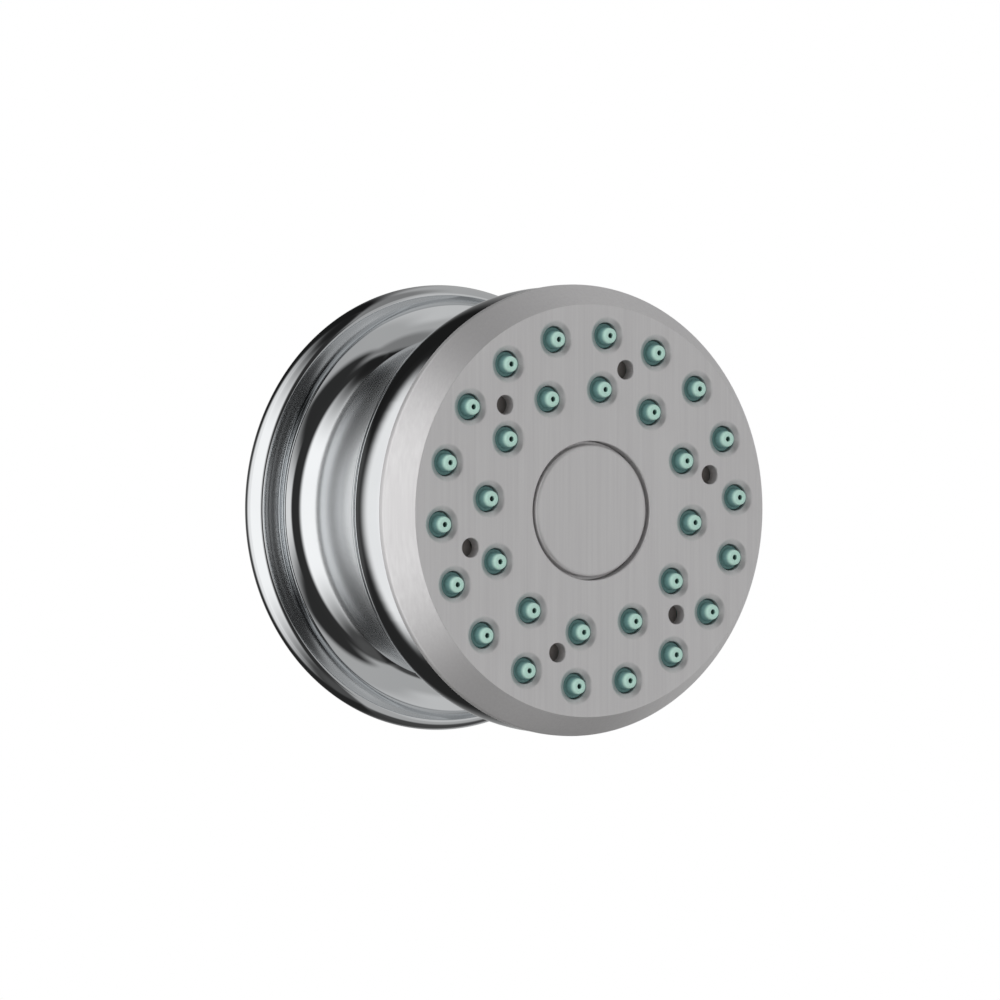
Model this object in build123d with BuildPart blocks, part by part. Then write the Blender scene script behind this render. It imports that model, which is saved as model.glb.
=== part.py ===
"""Shower body jet: a round spray head on a ball swivel, in a neck that opens like a bell into its wall flange.

Sizes are in millimetres. The wall is the plane y = 0, the jet faces -Y and +Z is up.
A depth is a distance from the wall towards the room.
"""
import os
from math import acos, asin, atan2, cos, degrees, radians, sin, sqrt, tan

from build123d import *

os.makedirs("parts", exist_ok=True)

# Wall flange and neck
FLANGE_R = 40.9         # widest radius of the flange
FLANGE_DEPTH = 5.6      # depth of that widest circle
FLANGE_TURN = 35        # degrees that the side turns back from there before it runs straight to the wall
LIP_INSET = 1.8         # how far the crest of the raised lip lies inside the widest circle
LIP_DEPTH = 8.6         # depth of that crest
LIP_ROUND = 0.8         # rounding of that crest
BELL_ROUND = 6.3        # radius of the hollow curve from the lip to the neck
NECK_R = 30.4           # outside radius of the neck
NECK_WALL = 2.2         # thickness of the neck's wall
NECK_EDGE = 0.7         # rounding of the neck's edges
NECK_GAP = 8.4          # space between the neck's end and the back of the head
WEB_BACK = 2.4          # depth of the back of the web inside the flange
WEB_T = 3.0             # thickness of the web that the fitting clamps
WEB_GAP = 0.4           # gap between the web's hole and the fitting

# Gasket behind the flange
GASKET_T = 1.6          # thickness of the gasket
GASKET_PROUD = 0.4      # how far it stands out behind the flange
GASKET_W = 3.2          # width of the groove that holds it
GASKET_LAND = 1.0       # metal between the neck's bore and the groove

# Inlet fitting
THREAD_R = 9.3          # wall radius of the half-inch inlet thread
THREAD_START = 0.8      # depth of the fitting's back end
THREAD_L = 11.0         # length of the inlet thread
THREAD_LEAD = 0.6       # chamfer at its mouth
SOCKET_WALL = 3.7       # wall round the inlet thread
WASHER_T = 1.0          # thickness of the clamp washer
WASHER_W = 4.4          # width of the clamp washer's ring
COLLAR_W = 3.8          # how far the fitting's collar stands out
COLLAR_T = 1.6          # thickness of the collar
HEX_AF = 27.0           # hexagon across flats
HEX_L = 5.4             # length of the hexagon
HEX_CHAMFER = 0.8       # chamfer on the hexagon's front corners
STEM_R = 6.0            # radius of the stem behind the ball
STEM_CONE = 9.0         # length of the cone between hexagon and stem
BORE_R = 3.5            # water way through stem and ball
BALL_R = 10.0           # radius of the ball
BALL_FLAT = 1.5         # how much the ball's front is cut flat
KEY_AF = 8.0            # hexagon key socket in the ball
KEY_L = 7.0             # depth of the key socket

# Inside the inlet
SEAL_T = 2.0            # thickness of the flat inlet seal
SEAL_W = 2.9            # width of its ring
SEAL_RELIEF = 0.5       # how much wider its seat is than the thread
SCREEN_T = 0.8          # thickness of the strainer disc
SCREEN_HOLE_R = 0.6     # radius of a strainer hole
SCREEN_PITCH = 1.9      # distance between rings of strainer holes
SCREEN_RINGS = 2        # rings of strainer holes round the middle one
SCREEN_N = 6            # holes in the first of those rings
REGULATOR_R = 6.4       # radius of the flow limiter
REGULATOR_L = 4.0       # length of the flow limiter
REGULATOR_RING_R = 2.5  # middle radius of its soft ring
REGULATOR_CORD = 1.4    # thickness of its soft ring
REGULATOR_HOLES = 8     # outlet holes under the soft ring
REGULATOR_HOLE_R = 0.5  # radius of an outlet hole

# Swivel between ball and head
PIVOT_DEPTH = 38.0      # depth of the ball's centre
LINER_T = 1.35          # thickness of the split ring and of the seal
LINER_GAP = 0.2         # running gap on both sides of those rings
SEAT_FRONT = 6          # degrees behind the ball's middle where the split ring begins
SEAT_BACK = 36          # degrees behind the ball's middle where it ends
SEAT_SLIT = 0.8         # width of the split
SEAL_BACK = 12          # degrees in front of the ball's middle where the seal begins
SEAL_FRONT = 44         # degrees in front of the ball's middle where it ends
NUT_WALL = 2.2          # thickness of the nut at the ball's middle
NUT_PASS = 0.3          # room for the nut to pass over the ball
NUT_STOP = 0.4          # how far the nut's stop lies in front of the ball's middle
NUT_FLANGE_T = 2.4      # thickness of the nut's flange
NUT_FLARE = 1.3         # how much the nut's back opening widens
NUT_NOTCHES = 6         # notches for a pin spanner
NUT_NOTCH_W = 2.6       # width of a notch
NUT_NOTCH_H = 1.6       # depth of a notch

# Rear shell
BACK_OFFSET = 2.6       # how far the shell's back face lies behind the ball's middle
BACK_T = 2.0            # thickness of the back wall
BOWL_ROUND = 17.5       # radius of the curve of the shell's side, seen in section
BOWL_INSET = 0.3        # how far the shell's widest circle lies inside the face plate's side
BOWL_SET = 4.1          # how far that circle lies behind the shoulder
SHOULDER_EDGE = 0.4     # rounding of the shoulder
BACK_EDGE = 1.5         # rounding of the back edge
DOME_GAP = 0.45         # gap between the dome and the neck's mouth
DOME_T = 2.0            # thickness of the dome
DOME_ANGLE = 39         # degrees behind the ball's middle where the dome ends
HUB_WALL = 3.0          # wall round the nut
HUB_BACK = 10.5         # how far the hub reaches behind the ball's middle
HUB_ANGLE = 48          # degrees in front of the ball's middle where the hub's seat ends
HUB_LIP = 0.7           # metal in front of that seat
HUB_NOSE = 2.4          # wall round that seat
SPIGOT_T = 2.1          # thickness of the spigot inside the face plate
SPIGOT_L = 2.4          # length of the spigot
LEDGE_W = 1.0           # ledge that carries the distributor plate
BOSS_R = 3.2            # radius of the screw bosses

# Layers of the spray head, from back to front
OUTLET_GAP = 2.0        # room for water in front of the ball
PLATE_T = 2.6           # thickness of the distributor plate
MEMBRANE_T = 1.5        # thickness of the membrane's sheet
FACE_T = 2.4            # thickness of the face plate
SLIP = 0.1              # fitting gap between pieces of the head
CORD = 1.2              # thickness of the seal cords in the head
CORD_GROOVE = 1.5       # width of the grooves for those cords
CORD_GAP = 0.05         # gap inside and outside those cords

# Face plate
HEAD_R = 40.0           # widest radius of the face plate
BEVEL_W = 3.6           # width of the bevel round the flat face
RIM_BACK = 5.0          # how far the bevel reaches behind the face
SKIRT_L = 6.6           # length of the face plate's side, bevel included
SKIRT_T = 1.6           # thickness of the skirt
SKIRT_EDGE = 0.5        # rounding of the skirt's back edge
FACE_ROUND = 1.6        # rounding between bevel and face
RIM_ROUND = 1.0         # rounding between bevel and skirt
SHADOW_GAP = 0.7        # groove between shell and face plate

# Nozzles and holes, seen from the front
PATTERN_TURN = 4        # degrees that the head is turned on its ball
OUTER_N = 18            # nozzles in the outer ring
OUTER_INSET = 8.95      # distance of the outer ring from the face plate's side
INNER_N = 12            # nozzles in the inner ring
RING_STEP = 9.55        # distance between the two rings
INNER_TURN = -10        # degrees that the inner ring is turned
NOZZLE_R = 2.2          # radius of a nozzle's base
NOZZLE_GAP = 0.15       # gap between nozzle and face plate
TIP_BASE_R = 1.65       # radius of the tapered tip where it leaves the base
TIP_R = 1.3             # radius of the tip at its end
TIP_L = 2.2             # length of the tapered tip
TIP_PROUD = 1.1         # how far the tip stands out of the face
ORIFICE_R = 0.45        # radius of its outlet
INTAKE_R = 1.1          # radius of its intake
DIMPLE_R = 3.3          # radius of the shallow dimple round a nozzle
DIMPLE_H = 0.6          # depth of the dimple
VENT_N = 6              # round holes between the rings
VENT_STEP = 5.15        # distance of their ring from the outer ring of nozzles
VENT_TURN = 10          # degrees that the holes are turned
VENT_R = 1.7            # radius of a hole
VENT_ROOM = 0.9         # how much wider the membrane's hole is

# Distributor plate and its screws
CHANNEL_W = 4.2         # width of the ring channels
CHANNEL_H = 1.4         # depth of the ring channels
FEED_N = 6              # feed holes in each channel
FEED_R = 1.5            # radius of a feed hole
SCREW_R = 1.25          # shank radius
SCREW_L = 8.0           # length of the screws
SCREW_HEAD_R = 2.3      # head radius
SCREW_SINK = 90         # degrees between the sides of the countersunk head
SCREW_KEY_R = 0.9       # radius of the driver recess
SCREW_KEY_H = 0.8       # depth of the driver recess
SCREW_END_GAP = 0.6     # room in front of a screw's end
THREAD_GAP = 0.05       # gap round the shanks of the screws

# Centre of the face
CAP_R = 11.7            # radius of the centre cap
CAP_GROOVE = 0.6        # groove round the cap
CAP_T = 1.2             # thickness of the cap's disc
CAP_WALL = 1.3          # thickness of the cap's skirt
CAP_BEAD = 0.8          # height of the snap bead on the cap's skirt
CAP_EDGE = 0.8          # rounding of the cap's edge
CUP_EDGE = 0.25         # rounding of the face's edge round the cap
CUP_FLOOR = 1.2         # floor of the cup under the cap
CUP_WALL = 1.2          # wall of that cup
SHEET_GAP = 0.3         # gap round the membrane's sheet
PAN_R = 3.5             # head radius of the centre screw
PAN_ROOM = 0.2          # gap between that head and the cap
PAN_SCREW_R = 2.0       # shank radius of the centre screw
PAN_SCREW_GAP = 0.2     # room round that shank in the cup's floor
PAN_KEY_AF = 2.5        # hexagon key socket in its head
PAN_KEY_L = 0.8         # depth of that socket
PAN_CORD = 0.7          # thickness of the ring under its head
PLUG_R = 4.0            # radius of the boss that takes the centre screw
PLUG_GAP = 0.7          # gap between that boss and the ball

# Sizes that follow on the wall side
LIP_R = FLANGE_R - LIP_INSET
LIP_BASE = LIP_DEPTH - LIP_ROUND
LIP_RISE = LIP_BASE - FLANGE_DEPTH
FLANGE_ROUND = (LIP_INSET**2 + LIP_RISE**2 - LIP_ROUND**2) / 2 / (LIP_INSET - LIP_ROUND)
FLANGE_MID_R = FLANGE_R - FLANGE_ROUND
BELL_MID_R = NECK_R + BELL_ROUND
BELL_DEPTH = LIP_BASE + sqrt((BELL_ROUND + LIP_ROUND) ** 2 - (LIP_R - BELL_MID_R) ** 2)
NECK_IN_R = NECK_R - NECK_WALL
GROOVE_IN_R = NECK_IN_R + GASKET_LAND
GROOVE_OUT_R = GROOVE_IN_R + GASKET_W
WEB_FRONT = WEB_BACK + WEB_T
SOCKET_R = THREAD_R + SOCKET_WALL
WEB_HOLE_R = SOCKET_R + WEB_GAP
COLLAR_BACK = WEB_FRONT + WASHER_T
HEX_BACK = COLLAR_BACK + COLLAR_T
HEX_FRONT = HEX_BACK + HEX_L
SEAL_BACK_DEPTH = THREAD_START + THREAD_LEAD + THREAD_L
SEAL_SEAT = SEAL_BACK_DEPTH + SEAL_T
SEAL_OUT_R = THREAD_R + SEAL_RELIEF - SLIP
SEAL_IN_R = SEAL_OUT_R - SEAL_W
REGULATOR_END = SEAL_SEAT + REGULATOR_L
BALL_FRONT = PIVOT_DEPTH + BALL_R - BALL_FLAT

# Sizes that follow in the swivel and the shell
LINER_IN_R = BALL_R + LINER_GAP
LINER_OUT_R = LINER_IN_R + LINER_T
CAVITY_R = LINER_OUT_R + LINER_GAP
NUT_R = CAVITY_R + NUT_WALL
NUT_OPEN_R = BALL_R + NUT_PASS
HUB_IN_R = NUT_R + SLIP
HUB_OUT_R = HUB_IN_R + HUB_WALL
HUB_END = PIVOT_DEPTH - HUB_BACK
NUT_FRONT = PIVOT_DEPTH + NUT_STOP - SLIP
NUT_BACK = HUB_END - NUT_FLANGE_T
HEAD_BACK = PIVOT_DEPTH - BACK_OFFSET
CHAMBER_BACK = HEAD_BACK + BACK_T
NECK_END = HEAD_BACK - NECK_GAP
DOME_R = sqrt((NECK_IN_R - DOME_GAP) ** 2 + (PIVOT_DEPTH - NECK_END) ** 2)
DOME_IN_R = DOME_R - DOME_T

# Sizes that follow in the spray head
FACE_R = HEAD_R - BEVEL_W
OUTER_R = HEAD_R - OUTER_INSET
INNER_R = OUTER_R - RING_STEP
VENT_RING_R = OUTER_R - VENT_STEP
PLATE_BACK = PIVOT_DEPTH + BALL_R + OUTLET_GAP
PLATE_FRONT = PLATE_BACK + PLATE_T
SHEET_FRONT = PLATE_FRONT + MEMBRANE_T
FACE = SHEET_FRONT + FACE_T
TIP = FACE + TIP_PROUD
SKIRT_BACK = FACE - SKIRT_L
SKIRT_IN_R = HEAD_R - SKIRT_T
SHOULDER = SKIRT_BACK - SHADOW_GAP
BOWL_R = HEAD_R - BOWL_INSET
BOWL_DEPTH = SHOULDER - BOWL_SET
SHOULDER_R = BOWL_R - BOWL_ROUND + sqrt(BOWL_ROUND**2 - BOWL_SET**2)
BACK_R = BOWL_R - BOWL_ROUND + sqrt(BOWL_ROUND**2 - (BOWL_DEPTH - HEAD_BACK) ** 2)
SPIGOT_END = SHOULDER + SPIGOT_L
SPIGOT_R = SKIRT_IN_R - SLIP
SPIGOT_IN_R = SPIGOT_R - SPIGOT_T
PLATE_R = SPIGOT_IN_R - SLIP
CHAMBER_R = SPIGOT_IN_R - LEDGE_W
SCREW_RING_R = (INNER_R + OUTER_R) / 2
SCREW_TURN = VENT_TURN + 180 / VENT_N
PLUG_END = PIVOT_DEPTH + BALL_R + PLUG_GAP
CUP_R = CAP_R + CAP_GROOVE
CUP_OUT_R = CUP_R + CUP_WALL
CUP_TOP = PLATE_FRONT + CUP_FLOOR
CAP_BACK = FACE - CAP_T
PAN_TOP = CAP_BACK - PAN_ROOM
PAN_HOLE_R = PAN_SCREW_R + PAN_SCREW_GAP
PAN_SEAT_R = PAN_HOLE_R + PAN_CORD + SLIP


def at(r, depth):
    """Point of a profile, by its radius and its depth."""
    return (r, -depth)


def on_round(mid_r, mid_depth, radius, angle):
    """Point of a rounding, by its middle, its radius and an angle from straight outwards to the front."""
    return at(mid_r + radius * cos(radians(angle)), mid_depth + radius * sin(radians(angle)))


def on_sphere(r, angle):
    """Point of a sphere round the ball's centre, by its angle in front of the ball's middle."""
    return on_round(0, PIVOT_DEPTH, r, angle)


def sphere_arc(r, start, end):
    """Arc of a sphere's section between two such angles."""
    return ThreePointArc(on_sphere(r, start), on_sphere(r, (start + end) / 2), on_sphere(r, end))


def angle_at_depth(r, depth):
    """Angle at which a sphere reaches a depth."""
    return degrees(asin((depth - PIVOT_DEPTH) / r))


def corner(sketch, r, depth):
    """Corner of a profile that lies nearest to a radius and a depth."""
    return sketch.vertices().sort_by_distance(Vector(r, -depth, 0))[0]


def ring_section(r_in, r_out, back, front):
    """Section of a plain ring."""
    with Locations(at((r_in + r_out) / 2, (back + front) / 2)):
        Rectangle(r_out - r_in, front - back)


def cord_section(r, depth, thickness):
    """Section of a round seal cord."""
    with Locations(at(r, depth)):
        Circle(thickness / 2)


def front_plane(depth):
    """Plane across the axis at a depth, facing the room."""
    return Plane.XZ.offset(depth)


def ring_of(r, count, turn):
    """Places on a circle round the axis, turned with the head."""
    return PolarLocations(r, count, start_angle=PATTERN_TURN + turn)


def nozzle_rings():
    """Places of the outer and the inner ring of nozzles."""
    return [ring_of(OUTER_R, OUTER_N, 0), ring_of(INNER_R, INNER_N, INNER_TURN)]


# Wall gasket, a flat soft ring in a groove behind the flange
with BuildPart() as wall_gasket:
    with BuildSketch():
        ring_section(GROOVE_IN_R + SLIP, GROOVE_OUT_R - SLIP, 0, GASKET_T)
    revolve(axis=Axis.Y)
wall_gasket.part.label = "wall_gasket"
export_step(wall_gasket.part, "parts/wall_gasket.step")

# Wall flange and neck, one turned and plated piece: side, lip, bell and neck run into each other
side_back = on_round(FLANGE_MID_R, FLANGE_DEPTH, FLANGE_ROUND, -FLANGE_TURN)
side_run = (-side_back[1] - GASKET_PROUD) * tan(radians(FLANGE_TURN))
lip_start = degrees(atan2(LIP_RISE, LIP_R - FLANGE_MID_R))
lip_end = degrees(atan2(BELL_DEPTH - LIP_BASE, BELL_MID_R - LIP_R))
with BuildPart() as wall_flange:
    with BuildSketch() as flange_profile:
        with BuildLine():
            Line(at(side_back[0] - side_run, GASKET_PROUD), side_back)
            ThreePointArc(
                side_back,
                at(FLANGE_R, FLANGE_DEPTH),
                on_round(LIP_R, LIP_BASE, LIP_ROUND, lip_start),
            )
            ThreePointArc(
                on_round(LIP_R, LIP_BASE, LIP_ROUND, lip_start),
                on_round(LIP_R, LIP_BASE, LIP_ROUND, (lip_start + lip_end) / 2),
                on_round(LIP_R, LIP_BASE, LIP_ROUND, lip_end),
            )
            ThreePointArc(
                on_round(LIP_R, LIP_BASE, LIP_ROUND, lip_end),
                on_round(BELL_MID_R, BELL_DEPTH, BELL_ROUND, lip_end / 2 - 180),
                at(NECK_R, BELL_DEPTH),
            )
            Polyline(
                at(NECK_R, BELL_DEPTH),
                at(NECK_R, NECK_END),
                at(NECK_IN_R, NECK_END),
                at(NECK_IN_R, WEB_FRONT),
                at(WEB_HOLE_R, WEB_FRONT),
                at(WEB_HOLE_R, WEB_BACK),
                at(NECK_IN_R, WEB_BACK),
                at(NECK_IN_R, GASKET_PROUD),
                at(GROOVE_IN_R, GASKET_PROUD),
                at(GROOVE_IN_R, GASKET_T),
                at(GROOVE_OUT_R, GASKET_T),
                at(GROOVE_OUT_R, GASKET_PROUD),
                at(side_back[0] - side_run, GASKET_PROUD),
            )
        make_face()
        fillet(corner(flange_profile, NECK_R, NECK_END), radius=NECK_EDGE)
        fillet(corner(flange_profile, NECK_IN_R, NECK_END), radius=NECK_EDGE)
        fillet(corner(flange_profile, NECK_IN_R, WEB_FRONT), radius=NECK_EDGE)
    revolve(axis=Axis.Y)
wall_flange.part.label = "wall_flange"
export_step(wall_flange.part, "parts/wall_flange.step")

# Clamp washer between the fitting's collar and the flange's web
with BuildPart() as clamp_washer:
    with BuildSketch():
        ring_section(WEB_HOLE_R, WEB_HOLE_R + WASHER_W, WEB_FRONT, COLLAR_BACK)
    revolve(axis=Axis.Y)
clamp_washer.part.label = "clamp_washer"
export_step(clamp_washer.part, "parts/clamp_washer.step")

# Inlet fitting: threaded socket, collar, hexagon, cone, stem and ball
hex_corner_r = HEX_AF / 2 / cos(radians(30))
with BuildPart() as inlet_fitting:
    with BuildSketch():
        with BuildLine():
            Polyline(
                at(BORE_R, BALL_FRONT),
                at(BORE_R, REGULATOR_END),
                at(REGULATOR_R + SLIP, REGULATOR_END),
                at(REGULATOR_R + SLIP, SEAL_SEAT),
                at(SEAL_OUT_R + SLIP, SEAL_SEAT),
                at(SEAL_OUT_R + SLIP, SEAL_BACK_DEPTH),
                at(THREAD_R, SEAL_BACK_DEPTH),
                at(THREAD_R, THREAD_START + THREAD_LEAD),
                at(THREAD_R + THREAD_LEAD, THREAD_START),
                at(SOCKET_R, THREAD_START),
                at(SOCKET_R, COLLAR_BACK),
                at(SOCKET_R + COLLAR_W, COLLAR_BACK),
                at(SOCKET_R + COLLAR_W, HEX_BACK),
                at(SOCKET_R, HEX_BACK),
                at(SOCKET_R, HEX_FRONT),
                at(STEM_R, HEX_FRONT + STEM_CONE),
                on_sphere(BALL_R, -degrees(acos(STEM_R / BALL_R))),
            )
            sphere_arc(BALL_R, -degrees(acos(STEM_R / BALL_R)), angle_at_depth(BALL_R, BALL_FRONT))
            Line(on_sphere(BALL_R, angle_at_depth(BALL_R, BALL_FRONT)), at(BORE_R, BALL_FRONT))
        make_face()
    revolve(axis=Axis.Y)
    with BuildSketch(front_plane(HEX_BACK)):
        RegularPolygon(HEX_AF / 2, 6, major_radius=False)
        Circle(SOCKET_R - SOCKET_WALL / 2, mode=Mode.SUBTRACT)
    extrude(amount=HEX_L)
    with BuildSketch():
        with BuildLine():
            Polyline(
                at(hex_corner_r - HEX_CHAMFER, HEX_FRONT),
                at(hex_corner_r + HEX_CHAMFER, HEX_FRONT),
                at(hex_corner_r + HEX_CHAMFER, HEX_FRONT - HEX_CHAMFER),
                close=True,
            )
        make_face()
    revolve(axis=Axis.Y, mode=Mode.SUBTRACT)
    with BuildSketch(front_plane(BALL_FRONT)):
        RegularPolygon(KEY_AF / 2, 6, major_radius=False)
    extrude(amount=-KEY_L, mode=Mode.SUBTRACT)
inlet_fitting.part.label = "inlet_fitting"
export_step(inlet_fitting.part, "parts/inlet_fitting.step")

# Flat inlet seal that the supply nipple presses on
with BuildPart() as inlet_seal:
    with BuildSketch():
        ring_section(SEAL_IN_R, SEAL_OUT_R, SEAL_BACK_DEPTH, SEAL_SEAT)
    revolve(axis=Axis.Y)
inlet_seal.part.label = "inlet_seal"
export_step(inlet_seal.part, "parts/inlet_seal.step")

# Strainer disc inside the inlet seal
with BuildPart() as filter_screen:
    with BuildSketch(front_plane(SEAL_SEAT - SCREEN_T)):
        Circle(SEAL_IN_R - SLIP)
        Circle(SCREEN_HOLE_R, mode=Mode.SUBTRACT)
        for ring in range(1, SCREEN_RINGS + 1):
            with PolarLocations(ring * SCREEN_PITCH, ring * SCREEN_N):
                Circle(SCREEN_HOLE_R, mode=Mode.SUBTRACT)
    extrude(amount=SCREEN_T)
filter_screen.part.label = "filter_screen"
export_step(filter_screen.part, "parts/filter_screen.step")

# Flow limiter with a ring groove on the inlet side
regulator_floor = SEAL_SEAT + REGULATOR_CORD + 2 * SLIP
with BuildPart() as flow_regulator:
    with BuildSketch(front_plane(SEAL_SEAT)):
        Circle(REGULATOR_R)
    extrude(amount=REGULATOR_L)
    with BuildSketch():
        ring_section(
            REGULATOR_RING_R - REGULATOR_CORD / 2 - SLIP,
            REGULATOR_RING_R + REGULATOR_CORD / 2 + SLIP,
            SEAL_SEAT,
            regulator_floor,
        )
    revolve(axis=Axis.Y, mode=Mode.SUBTRACT)
    with BuildSketch(front_plane(SEAL_SEAT)):
        with PolarLocations(REGULATOR_RING_R, REGULATOR_HOLES):
            Circle(REGULATOR_HOLE_R)
    extrude(amount=REGULATOR_L, mode=Mode.SUBTRACT)
flow_regulator.part.label = "flow_regulator"
export_step(flow_regulator.part, "parts/flow_regulator.step")

# Soft ring in the flow limiter
with BuildPart() as regulator_o_ring:
    with BuildSketch():
        cord_section(REGULATOR_RING_R, regulator_floor - REGULATOR_CORD / 2 - SLIP, REGULATOR_CORD)
    revolve(axis=Axis.Y)
regulator_o_ring.part.label = "regulator_o_ring"
export_step(regulator_o_ring.part, "parts/regulator_o_ring.step")

# Split ring behind the ball's middle, opened to pass over the ball
with BuildPart() as ball_seat_ring:
    with BuildSketch():
        with BuildLine():
            sphere_arc(LINER_IN_R, -SEAT_BACK, -SEAT_FRONT)
            Line(on_sphere(LINER_IN_R, -SEAT_FRONT), on_sphere(LINER_OUT_R, -SEAT_FRONT))
            sphere_arc(LINER_OUT_R, -SEAT_FRONT, -SEAT_BACK)
            Line(on_sphere(LINER_OUT_R, -SEAT_BACK), on_sphere(LINER_IN_R, -SEAT_BACK))
        make_face()
    revolve(axis=Axis.Y)
    with BuildSketch(front_plane(PIVOT_DEPTH)):
        with Locations((0, -LINER_OUT_R)):
            Rectangle(SEAT_SLIT, 2 * LINER_OUT_R)
    extrude(amount=-LINER_OUT_R, mode=Mode.SUBTRACT)
ball_seat_ring.part.label = "ball_seat_ring"
export_step(ball_seat_ring.part, "parts/ball_seat_ring.step")

# Soft spherical seal in front of the ball's middle
with BuildPart() as ball_seal:
    with BuildSketch():
        with BuildLine():
            sphere_arc(LINER_IN_R, SEAL_BACK, SEAL_FRONT)
            Line(on_sphere(LINER_IN_R, SEAL_FRONT), on_sphere(LINER_OUT_R, SEAL_FRONT))
            sphere_arc(LINER_OUT_R, SEAL_FRONT, SEAL_BACK)
            Line(on_sphere(LINER_OUT_R, SEAL_BACK), on_sphere(LINER_IN_R, SEAL_BACK))
        make_face()
    revolve(axis=Axis.Y)
ball_seal.part.label = "ball_seal"
export_step(ball_seal.part, "parts/ball_seal.step")

# Ring nut that holds the split ring in the hub, wide enough to pass over the ball
nut_open_angle = -degrees(acos(NUT_OPEN_R / CAVITY_R))
nut_front_angle = angle_at_depth(CAVITY_R, NUT_FRONT)
with BuildPart() as socket_nut:
    with BuildSketch():
        with BuildLine():
            sphere_arc(CAVITY_R, nut_front_angle, nut_open_angle)
            Polyline(
                on_sphere(CAVITY_R, nut_open_angle),
                at(NUT_OPEN_R + NUT_FLARE, NUT_BACK),
                at(HUB_OUT_R, NUT_BACK),
                at(HUB_OUT_R, HUB_END),
                at(NUT_R, HUB_END),
                at(NUT_R, NUT_FRONT),
                on_sphere(CAVITY_R, nut_front_angle),
            )
        make_face()
    revolve(axis=Axis.Y)
    with BuildSketch(front_plane(NUT_BACK)):
        with PolarLocations(HUB_OUT_R, NUT_NOTCHES):
            Rectangle(2 * NUT_NOTCH_H, NUT_NOTCH_W)
    extrude(amount=NUT_FLANGE_T, mode=Mode.SUBTRACT)
socket_nut.part.label = "socket_nut"
export_step(socket_nut.part, "parts/socket_nut.step")

# Rear shell: back wall, curved side, spigot, hub with the ball's seat, and a dome that nests in the neck
stop_depth = PIVOT_DEPTH + NUT_STOP
seat_end = on_sphere(CAVITY_R, HUB_ANGLE)
nose_depth = PIVOT_DEPTH + CAVITY_R * sin(radians(HUB_ANGLE)) + HUB_LIP
nose_r = CAVITY_R + HUB_NOSE
hub_step = stop_depth + HUB_WALL
spigot_cord_depth = (SHOULDER + SPIGOT_END) / 2
spigot_cord_r = SKIRT_IN_R - CORD_GAP - CORD / 2
spigot_floor_r = spigot_cord_r - CORD / 2 - CORD_GAP
with BuildPart() as rear_shell:
    with BuildSketch() as shell_profile:
        with BuildLine():
            sphere_arc(DOME_R, -DOME_ANGLE, angle_at_depth(DOME_R, HEAD_BACK))
            Line(on_sphere(DOME_R, angle_at_depth(DOME_R, HEAD_BACK)), at(BACK_R, HEAD_BACK))
            ThreePointArc(at(BACK_R, HEAD_BACK), at(BOWL_R, BOWL_DEPTH), at(SHOULDER_R, SHOULDER))
            Polyline(
                at(SHOULDER_R, SHOULDER),
                at(SPIGOT_R, SHOULDER),
                at(SPIGOT_R, spigot_cord_depth - CORD_GROOVE / 2),
                at(spigot_floor_r, spigot_cord_depth - CORD_GROOVE / 2),
                at(spigot_floor_r, spigot_cord_depth + CORD_GROOVE / 2),
                at(SPIGOT_R, spigot_cord_depth + CORD_GROOVE / 2),
                at(SPIGOT_R, SPIGOT_END),
                at(SPIGOT_IN_R, SPIGOT_END),
                at(SPIGOT_IN_R, PLATE_BACK),
                at(CHAMBER_R, PLATE_BACK),
                at(CHAMBER_R, CHAMBER_BACK),
                at(HUB_OUT_R, CHAMBER_BACK),
                at(HUB_OUT_R, hub_step),
                at(nose_r, hub_step),
                at(nose_r, nose_depth),
                at(CAVITY_R * cos(radians(HUB_ANGLE)), nose_depth),
                seat_end,
            )
            sphere_arc(CAVITY_R, HUB_ANGLE, angle_at_depth(CAVITY_R, stop_depth))
            Polyline(
                on_sphere(CAVITY_R, angle_at_depth(CAVITY_R, stop_depth)),
                at(HUB_IN_R, stop_depth),
                at(HUB_IN_R, HUB_END),
                at(HUB_OUT_R, HUB_END),
                at(HUB_OUT_R, HEAD_BACK),
                on_sphere(DOME_IN_R, angle_at_depth(DOME_IN_R, HEAD_BACK)),
            )
            sphere_arc(DOME_IN_R, angle_at_depth(DOME_IN_R, HEAD_BACK), -DOME_ANGLE)
            Line(on_sphere(DOME_IN_R, -DOME_ANGLE), on_sphere(DOME_R, -DOME_ANGLE))
        make_face()
        fillet(corner(shell_profile, BACK_R, HEAD_BACK), radius=BACK_EDGE)
        fillet(corner(shell_profile, SHOULDER_R, SHOULDER), radius=SHOULDER_EDGE)
    revolve(axis=Axis.Y)
    with BuildSketch(front_plane(CHAMBER_BACK)):
        with ring_of(SCREW_RING_R, VENT_N, SCREW_TURN):
            Circle(BOSS_R)
    extrude(amount=PLATE_BACK - CHAMBER_BACK)
    with BuildSketch(front_plane(PLATE_BACK)):
        with ring_of(SCREW_RING_R, VENT_N, SCREW_TURN):
            Circle(SCREW_R + THREAD_GAP)
    extrude(amount=PLATE_T - SCREW_L - SCREW_END_GAP, mode=Mode.SUBTRACT)
rear_shell.part.label = "rear_shell"
export_step(rear_shell.part, "parts/rear_shell.step")

# Cord between the spigot and the face plate's skirt
with BuildPart() as face_o_ring:
    with BuildSketch():
        cord_section(spigot_cord_r, spigot_cord_depth, CORD)
    revolve(axis=Axis.Y)
face_o_ring.part.label = "face_o_ring"
export_step(face_o_ring.part, "parts/face_o_ring.step")

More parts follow.
